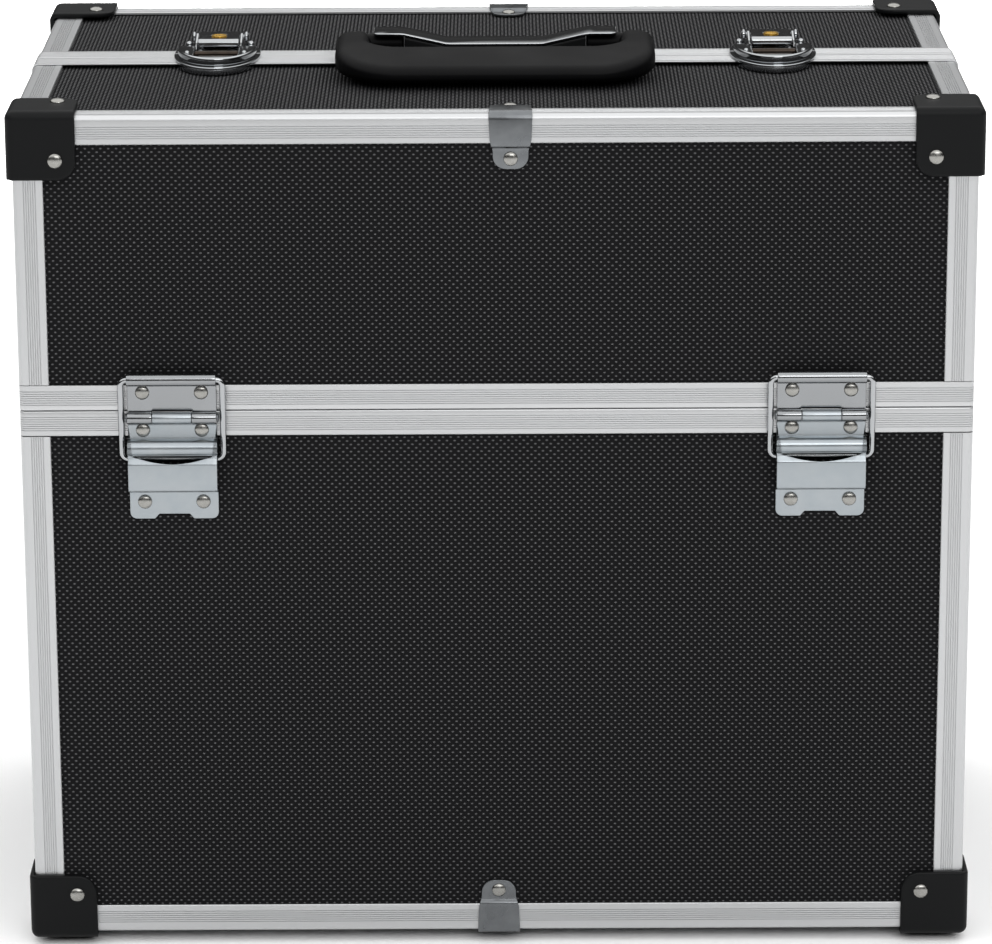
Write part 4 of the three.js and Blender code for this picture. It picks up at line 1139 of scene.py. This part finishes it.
def lower_leaf_mesh():
    knuckle = arc((pin_out, 0), knuckle_round, -105, 180, 18)
    roll_top = roll_high + roll_round
    shoulder = filleted([knuckle[-1], (sheet_out, roll_top), (roll_out, roll_top)], [0, 0.9 * mm, 0])
    roll = arc((roll_out, roll_high), roll_round, 90, -55, 12)
    rest = [roll[-1], (dip_out, dip_high), (channel_out, channel_high), (channel_out, channel_low),
            (leaf_foot_out, leaf_step_low), (leaf_foot_out, leaf_low)]
    rest = filleted(rest, [0, 1.0 * mm, 1.2 * mm, 1.3 * mm, 0.8 * mm, 0], 4)
    path = knuckle + [tuple(point) for point in shoulder[1:-1]]
    path += roll + [tuple(point) for point in rest[1:]]
    length = path_length(path)
    bare = path_length(knuckle) + lower_clear
    under_roll = path_length(path[:len(path) - len(rest) + 1]) + slit_clear
    slit = [(x, under_roll + slit_deep * (1 - (x / slit_half) ** 2))
            for x in np.linspace(-slit_half, slit_half, 25)]
    half, tongue, notch = hinge_width / 2, middle_knuckle / 2, notch_width / 2
    outline = [(-tongue, 0), (tongue, 0), (tongue, bare), (half, bare), (half, length),
               (notch + notch_slope, length), (notch - notch_slope, length - notch_depth),
               (notch_slope - notch, length - notch_depth), (-notch - notch_slope, length), (-half, length),
               (-half, bare), (-tongue, bare)]
    outline = filleted(outline, [leaf_tip_round] * 2 + [leaf_inner_round] * 2 + [leaf_foot_round]
                       + [leaf_inner_round] * 4 + [leaf_foot_round] + [leaf_inner_round] * 2)
    return folded("lower_leaf", blank("lower_leaf", [outline, slit[::-1]], hinge_sheet), path, bright_zinc)


def pin_mesh():
    end, head, reach = hinge_width / 2 + piece_gap, 2.2 * mm, 0.8 * mm
    profile = [(0, -end - reach), (head - 0.4 * mm, -end - reach), (head, -end - reach / 2), (head, -end),
               (pin_round, -end), (pin_round, end), (head, end), (head, end + reach / 2),
               (head - 0.4 * mm, end + reach), (0, end + reach)]
    points, faces, places = turned(profile, 20)
    points = points[:, [2, 0, 1]] + np.array((0, -pin_out, 0))
    return mesh_of("hinge_pin", [(points, faces, places)], plated_steel)


def bail_mesh():
    """The lid stay: round wire bent to a closed loop, from the curl down behind the leaf's channel."""
    top, low = np.array((curl_out, curl_high)), np.array((bail_low_out, bail_low_high))
    half = bail_width / 2
    fall = np.linalg.norm(low - top)
    down = (low - top) / fall
    loop = [(-half, 0), (half, 0), (half, fall), (-half, fall)]
    path = filleted(loop, [bail_bend] * 4, 6)
    across = np.array((1.0, 0, 0))
    along = np.array((0, -down[0], down[1]))
    out = np.cross(across, along)
    origin = np.array((0, -top[0], top[1]))
    rings = []
    for index, (x, s) in enumerate(path):
        travel = np.array(path[(index + 1) % len(path)]) - np.array(path[index - 1])
        travel /= np.linalg.norm(travel)
        sideways = np.array((travel[1], -travel[0]))
        centre = origin + across * x + along * s
        side = across * sideways[0] + along * sideways[1]
        rings.append([centre + side * wire_round * math.cos(turn) + out * wire_round * math.sin(turn)
                      for turn in np.linspace(0, 2 * math.pi, 16, endpoint=False)])
    return mesh_of("wire_bail", [loft(rings, closed=True)], bright_chrome, round_crease)


hinge_pieces = [
    ("upper_hinge_leaf", upper_leaf_mesh(), bright_nickel, "{end}_lid", "steel"),
    ("lower_hinge_leaf", lower_leaf_mesh(), bright_zinc, "body", "zinc"),
    ("hinge_pin", pin_mesh(), plated_steel, "body", "steel"),
    ("wire_bail", bail_mesh(), bright_chrome, "{end}_{side}_bail", "chrome"),
]
for end, along in (("front", -1), ("rear", 1)):
    for side, across in (("left", -1), ("right", 1)):
        for kind, mesh, material, body, slot in hinge_pieces:
            name = f"{end}_{side}_{kind}"
            place = (across * hinge_spread, along * half_depth, pin_place)
            copy = standing_copy(name, mesh, np.diag((1, -along, 1)), place, material)
            place_piece(name + "_piece", copy, body.format(end=end, side=side), slot, name)

# Locks.
# Two chrome-plated lift locks stand across the top seam. The front half is a raised half-oval keeper
# with a well for the hook, whose floor and bars are painted dark brown as painted shade and reflection;
# the rear half a plate with two ears that carry the rolled lever and, through the lever, a brass key
# cylinder.
lock_spread = 136 * mm
lock_width = 42.3 * mm
keeper_reach = 36 * mm
housing_reach = 36 * mm
lock_base = case_top + seam_proud + piece_gap
lock_sheet = 1.4 * mm
skirt_low = case_top - panel_inset + piece_gap
dish_inset = 5 * mm
dish_side_inset = 1.8 * mm
dish_top = lock_base + 5.2 * mm
dish_round = 0.9 * mm
dish_stud_x = 13.9 * mm
dish_stud_y = -16.5 * mm
dish_stud_round = 1.3 * mm
well_half = 10.5 * mm
well_far = 25 * mm
hook_bar_round = 1.5 * mm
hook_bar_y = -9 * mm
spring_bar_half = well_half - 2 * mm
spring_bar_round = 1.1 * mm
spring_bar_y = -17 * mm
ear_sheet = 1.2 * mm
ear_near = 2.5 * mm
ear_far = 32 * mm
ear_high = 7 * mm
lever_half = 10 * mm
lever_near = 7.5 * mm
lever_top = case_top + 7.8 * mm
lever_lip = 3.4 * mm
lever_pin = 1.1 * mm
pin_head_in = 1.4 * mm
pin_head_out = 0.8 * mm
pin_head_round = 2.5 * mm
pivot_y = 29 * mm
pivot_z = lock_base + 4.1 * mm
key_y = 17.6 * mm
key_round = 4 * mm
key_slot_half = 2.5 * mm
key_slot_width = 1.2 * mm
key_top = lever_top + 0.5 * mm
housing_studs = [(14.65 * mm, 3.2 * mm, 2.4 * mm), (15.2 * mm, 24 * mm, 1.7 * mm)]
seam_half = 0.15 * mm
oval_steps = 28
ring_steps = 32
sheet_crease = math.radians(34)
seam_edge = abs(lid_high[1])

# The lock wells' floor and bars are painted dark: painted shade and reflection in the recess
well_shade_steel, black_tree, black_shader = new_material(
    "lock_well_painted_shade", "#2b2622", 0.35, metallic=0.85)
black_place = add_node(black_tree, "ShaderNodeTexCoord")
# Brown-black patches a few millimetres across: painted shade and a painted warm reflection in the well
well_shade_patches = add_node(black_tree, "ShaderNodeTexNoise", values={"Scale": 320.0, "Detail": 3.0},
                      links={"Vector": black_place.outputs["Object"]})
well_shade_tint = add_node(black_tree, "ShaderNodeValToRGB", links={"Fac": well_shade_patches.outputs["Fac"]})
well_shade_tint.color_ramp.elements[0].color = linear("#1c1917")
well_shade_tint.color_ramp.elements[1].color = linear("#4a4038")
black_tree.links.new(well_shade_tint.outputs["Color"], black_shader.inputs["Base Color"])

turned_brass, brass_tree, brass_shader = new_material("turned_lock_brass", "#c9a24a", 0.26, metallic=1.0)
brass_place = add_node(brass_tree, "ShaderNodeTexCoord")
# The lathe leaves fine marks some 0.7 mm across that catch the light
brass_marks = add_node(brass_tree, "ShaderNodeTexNoise", values={"Scale": 1500.0, "Detail": 2.0},
                       links={"Vector": brass_place.outputs["Object"]})
brass_sheen = add_node(brass_tree, "ShaderNodeMapRange", values={"To Min": 0.18, "To Max": 0.36},
                       links={"Value": brass_marks.outputs["Fac"]})
brass_tree.links.new(brass_sheen.outputs["Result"], brass_shader.inputs["Roughness"])


def half_oval(side, inset, reach, half=lock_width / 2):
    """A half oval's outline that ends flat at the seam; side is -1 for the front."""
    deep = reach - inset - seam_half
    return [(half * math.cos(turn), side * (seam_half + deep * math.sin(turn)))
            for turn in np.linspace(0, math.pi, oval_steps + 1)]


def plate_part(outline, low, high, edge, holes=()):
    """A flat plate between two levels with softened edges, as a part for mesh_of."""
    shell = blank("plate", [outline, *holes], high - low, edge)
    mesh = bpy.data.meshes.new("plate")
    shell.to_mesh(mesh)
    shell.free()
    points, faces, places = part_of(mesh)
    return points + np.array((0, 0, (low + high) / 2)), faces, places


def beyond(outline, side, level):
    """The stretch of a half oval's outline that lies past a line parallel to the seam."""
    kept = [(x, y) for x, y in outline if side * y > level]
    return [(kept[0][0], side * level), *kept, (kept[-1][0], side * level)]


def ring(centre, radius):
    return [(centre[0] + radius * math.cos(turn), centre[1] + radius * math.sin(turn))
            for turn in np.linspace(0, 2 * math.pi, ring_steps, endpoint=False)]


def ball(place, radius):
    """A bright dome that stands on a plate."""
    dome = [(radius * math.cos(math.radians(angle)), radius * 0.9 * math.sin(math.radians(angle)))
            for angle in range(0, 90, 15)]
    points, faces, places = turned([(0, -0.3 * mm), (radius, -0.3 * mm), *dome, (0, radius * 0.9)], 20)
    return points + np.array(place), faces, places


def bar_along_x(low, high, radius, y, z, soft):
    points, faces, places = turned([(0, low), (radius - soft, low), (radius, low + soft),
                                    (radius, high - soft), (radius - soft, high), (0, high)], 20)
    return points[:, [2, 0, 1]] + np.array((0, y, z)), faces, places


plate_top = lock_base + lock_sheet
keeper_outline = half_oval(-1, 0, keeper_reach)
dish_outline = half_oval(-1, dish_inset, keeper_reach, half=lock_width / 2 - dish_side_inset)
well = [(-well_half, -seam_half), (-well_half, -well_far), (well_half, -well_far), (well_half, -seam_half)]
well_floor = [well[1], well[2], well[3], well[0]]
dish_outline += filleted(well, [0, 2.5 * mm, 2.5 * mm, 0])
keeper_parts = [
    plate_part(keeper_outline, lock_base, plate_top, 0.4 * mm),
    plate_part(beyond(keeper_outline, -1, seam_edge), skirt_low, lock_base + 0.4 * mm, 0.2 * mm),
    plate_part(dish_outline, plate_top - 0.3 * mm, dish_top, dish_round),
    *[ball((side * dish_stud_x, dish_stud_y, dish_top - 0.2 * mm), dish_stud_round) for side in (-1, 1)],
]
well_parts = [
    plate_part(well_floor, plate_top, plate_top + 0.3 * mm, 0.1 * mm),
    bar_along_x(-well_half, well_half, hook_bar_round, hook_bar_y, plate_top + 1.6 * mm, 0.2 * mm),
    bar_along_x(-spring_bar_half, spring_bar_half, spring_bar_round, spring_bar_y, plate_top + 1.2 * mm,
                0.2 * mm),
]
housing_outline = half_oval(1, 0, housing_reach)
ear_outline = filleted([(ear_near, 0.4 * mm), (ear_near, 3.6 * mm), (lever_near + 4 * mm, 4.4 * mm),
                        (pivot_y - 6 * mm, ear_high), (ear_far, ear_high), (ear_far, 0.4 * mm)],
                       [0, 1 * mm, 6 * mm, 6 * mm, 3 * mm, 0])
housing_parts = [
    plate_part(housing_outline, lock_base, plate_top, 0.4 * mm),
    plate_part(beyond(housing_outline, 1, seam_edge), skirt_low, lock_base + 0.4 * mm, 0.2 * mm),
]
ear_inner = lever_half + piece_gap
for side in (-1, 1):
    points, faces, places = plate_part(ear_outline, ear_inner, ear_inner + ear_sheet, 0.3 * mm)
    housing_parts.append((points[:, [2, 0, 1]] * (side, 1, 1) + np.array((0, 0, lock_base)), faces, places))
    for x, y, stud_round in housing_studs:
        housing_parts.append(ball((side * x, y, plate_top), stud_round))


def lever_mesh():
    centre_high = lever_top - lock_sheet / 2
    near = lever_near + lock_sheet / 2
    corners = [(near, lever_top - lever_lip), (near, centre_high), (pivot_y, centre_high)]
    front = filleted(corners, [0, 1.4 * mm, 0])
    rolled = arc((pivot_y, pivot_z), centre_high - pivot_z, 90, -150, 16)
    path = [tuple(point) for point in front[:-1]] + rolled
    length = path_length(path)
    half = lever_half
    outline = filleted([(-half, 0), (half, 0), (half, length), (-half, length)],
                       [1.2 * mm, 1.2 * mm, 0.4 * mm, 0.4 * mm])
    hole_run = path_length(front) - (pivot_y - key_y)
    hole = ring((0, hole_run), key_round + piece_gap)
    flat = blank("lever_sheet", [outline, hole], lock_sheet, 0.35 * mm)
    points, faces, places = part_of(folded("lever_sheet", flat, path, bright_chrome))
    pin_end = half + piece_gap + ear_sheet + piece_gap + pin_head_in
    parts = [(points * (1, -1, 1), faces, places),
             bar_along_x(-pin_end, pin_end, lever_pin, pivot_y, pivot_z, 0.2 * mm)]
    for side in (-1, 1):
        ends = sorted((side * (pin_end - pin_head_in), side * (pin_end + pin_head_out)))
        parts.append(bar_along_x(*ends, pin_head_round, pivot_y, pivot_z, 0.7 * mm))
    return mesh_of("lever", parts, bright_chrome, sheet_crease)


def key_mesh():
    low, high = key_y - key_slot_width / 2, key_y + key_slot_width / 2
    slot = filleted([(-key_slot_half, low), (key_slot_half, low), (key_slot_half, high),
                     (-key_slot_half, high)], [key_slot_width / 4] * 4)
    face = plate_part(ring((0, key_y), key_round - 0.3 * mm), key_top - 0.8 * mm, key_top, 0.2 * mm, [slot])
    barrel = plate_part(ring((0, key_y), key_round), key_top - 4 * mm, key_top - 0.7 * mm, 0.25 * mm)
    return mesh_of("key", [face, barrel], turned_brass, sheet_crease)


keeper_mesh = mesh_of("keeper", keeper_parts, bright_chrome, sheet_crease)
housing_mesh = mesh_of("housing", housing_parts, bright_chrome, sheet_crease)
lock_pieces = [
    ("lock_keeper", keeper_mesh, bright_chrome, "front_lid", "chrome"),
    ("lock_housing", housing_mesh, bright_chrome, "rear_lid", "chrome"),
    ("lock_lever", lever_mesh(), bright_chrome, "{side}_lever", "chrome"),
    ("key_cylinder", key_mesh(), turned_brass, "{side}_key", "brass"),
]
# The well's floor and bars take the dark painted shade of the recess
well_mesh = mesh_of("well", well_parts, well_shade_steel, sheet_crease)
for side, across in (("left", -1), ("right", 1)):
    place = (across * lock_spread, 0, 0)
    for kind, mesh, material, body, slot in lock_pieces:
        name = f"{side}_{kind}"
        place_piece(name + "_piece", standing_copy(name, mesh, np.eye(3), place, material),
                    body.format(side=side), slot, name)
    name = f"{side}_lock_well"
    place_piece(name, standing_copy(name, well_mesh, np.eye(3), place, well_shade_steel),
                "front_lid", "steel")

# Handle.
# A moulded black grip with two stub axles folds flat on the lid. A cranked steel strap, fixed from
# below through a moulded base, holds the axles down with its raised ends.
strap_half = 59 * mm
strap_knee = 45 * mm
strap_flat = 23.3 * mm
strap_width = 18.5 * mm
strap_sheet = 1.4 * mm
strap_low = case_top + 11 * mm
strap_top = strap_low + 4.9 * mm
strap_y = -11 * mm
strap_bend = 16 * mm
base_grain = 0.6 * mm
base_kept_share = 0.35
grip_half = 77 * mm
grip_rear = -5 * mm
grip_front = -74 * mm
grip_base = lock_base + 0.6 * mm
grip_thickness = 13.4 * mm
grip_soft = 5.2 * mm
grip_front_round = 30 * mm
grip_rear_round = 9 * mm
gap_half = 60.3 * mm
gap_front = -41 * mm
gap_round = 14 * mm
grip_inner_round = 6 * mm
grip_row = 2 * mm
grip_column = 6 * mm
nose_fall = 6.5 * mm
nose_power = 1.6
nose_start = 6 * mm
axle_round = 4.7 * mm
axle_inner = 44.4 * mm
axle_high = strap_top - strap_sheet - piece_gap - axle_round

grip_vinyl, vinyl_tree, vinyl_shader = new_material("soft_black_vinyl_grip", "#060607", 0.52)
vinyl_shader.inputs["Specular IOR Level"].default_value = 0.09
vinyl_place = add_node(vinyl_tree, "ShaderNodeTexCoord")
# The soft skin has a fine grain of some 0.5 mm and is polished in patches by the hand
vinyl_grain = add_node(vinyl_tree, "ShaderNodeTexNoise", values={"Scale": 2000.0, "Detail": 2.0},
                       links={"Vector": vinyl_place.outputs["Object"]})
vinyl_bump = add_node(vinyl_tree, "ShaderNodeBump", values={"Strength": 0.3, "Distance": 0.03 * mm},
                      links={"Height": vinyl_grain.outputs["Fac"]})
vinyl_tree.links.new(vinyl_bump.outputs["Normal"], vinyl_shader.inputs["Normal"])
vinyl_haze = add_node(vinyl_tree, "ShaderNodeTexNoise", values={"Scale": 38.0, "Detail": 3.0},
                      links={"Vector": vinyl_place.outputs["Object"]})
vinyl_sheen = add_node(vinyl_tree, "ShaderNodeMapRange", values={"To Min": 0.42, "To Max": 0.62},
                       links={"Value": vinyl_haze.outputs["Fac"]})
vinyl_tree.links.new(vinyl_sheen.outputs["Result"], vinyl_shader.inputs["Roughness"])


def strap_mesh():
    level, drop = strap_top - strap_sheet / 2, strap_low - strap_sheet / 2
    corners = [(-strap_half, level), (-strap_knee, level), (-strap_flat, drop), (strap_flat, drop),
               (strap_knee, level), (strap_half, level)]
    path = [tuple(point) for point in filleted(corners, [0, *[strap_bend] * 4, 0], 8)]
    length = path_length(path)
    half = strap_width / 2
    outline = filleted([(-half, 0), (half, 0), (half, length), (-half, length)], [3 * mm] * 4)
    flat = blank("strap", [outline], strap_sheet, 0.45 * mm)
    points, faces, places = part_of(folded("strap_sheet", flat, path, bright_chrome))
    placed = np.stack([-points[:, 1], points[:, 0] + strap_y, points[:, 2]], -1)
    return mesh_of("handle_strap_piece", [(placed, faces, places)], bright_chrome, sheet_crease)


def base_mesh():
    """The strap's seat: a block that follows the strap's underside, with a cradle under each axle."""
    seat = strap_low - strap_sheet - piece_gap
    cradle = axle_high - axle_round - piece_gap
    end = strap_knee - 1 * mm
    shoulder = seat + (strap_top - strap_low) / (strap_knee - strap_flat) * (end - strap_flat)
    outline = [(-strap_half, lock_base), (strap_half, lock_base), (strap_half, cradle), (end, cradle),
               (end, shoulder), (strap_flat, seat), (-strap_flat, seat), (-end, shoulder), (-end, cradle),
               (-strap_half, cradle)]
    front, rear = strap_y - strap_width / 2, strap_y + strap_width / 2
    toe = [(-strap_flat, front), (strap_flat, front), (strap_flat, -seam_edge), (-strap_flat, -seam_edge)]
    body = slab(outline, front, rear, (0, 2, 1))
    foot = slab(toe, skirt_low, lock_base + 1 * mm)
    return evaluated_copy("handle_base_piece", moulded_shell("base", [body, foot], base_grain, 2),
                          [("DECIMATE", {"ratio": base_kept_share})])


def grip_mesh():
    left, right = -grip_half, grip_half
    outline = [(left, grip_front), (right, grip_front), (right, grip_rear), (gap_half, grip_rear),
               (gap_half, gap_front), (-gap_half, gap_front), (-gap_half, grip_rear), (left, grip_rear)]
    rounds = [grip_front_round, grip_front_round, grip_rear_round, grip_inner_round, gap_round, gap_round,
              grip_inner_round, grip_rear_round]
    outline = filleted(outline, rounds, 12)
    shell = blank("grip", [outline], grip_thickness, grip_soft, 7)
    score(shell, 1, np.arange(grip_front + grip_row, grip_rear, grip_row))
    score(shell, 0, np.arange(left + 4 * mm, right, grip_column))
    mesh = bpy.data.meshes.new("grip")
    shell.to_mesh(mesh)
    shell.free()
    points, faces, places = part_of(mesh)
    start = gap_front + nose_start
    ahead = np.clip((start - points[:, 1]) / (start - grip_front), 0, 1)
    fall = ahead ** nose_power * nose_fall
    height = points[:, 2] / grip_thickness + 0.5
    points[:, 2] += grip_base + grip_thickness / 2 - fall * height
    axles = [bar_along_x(*sorted((side * axle_inner, side * (gap_half + grip_soft + 2 * mm))), axle_round,
                         strap_y, axle_high, 0.8 * mm) for side in (-1, 1)]
    return mesh_of("handle_grip_piece", [(points, faces, places), *axles], grip_vinyl, sheet_crease)


place_piece("handle_strap_piece", strap_mesh(), "front_lid", "chrome", "handle_strap")
place_piece("handle_base_piece", base_mesh(), "front_lid", "moulding", "handle_base")
place_piece("handle_grip_piece", grip_mesh(), "handle", "moulding", "handle_grip")
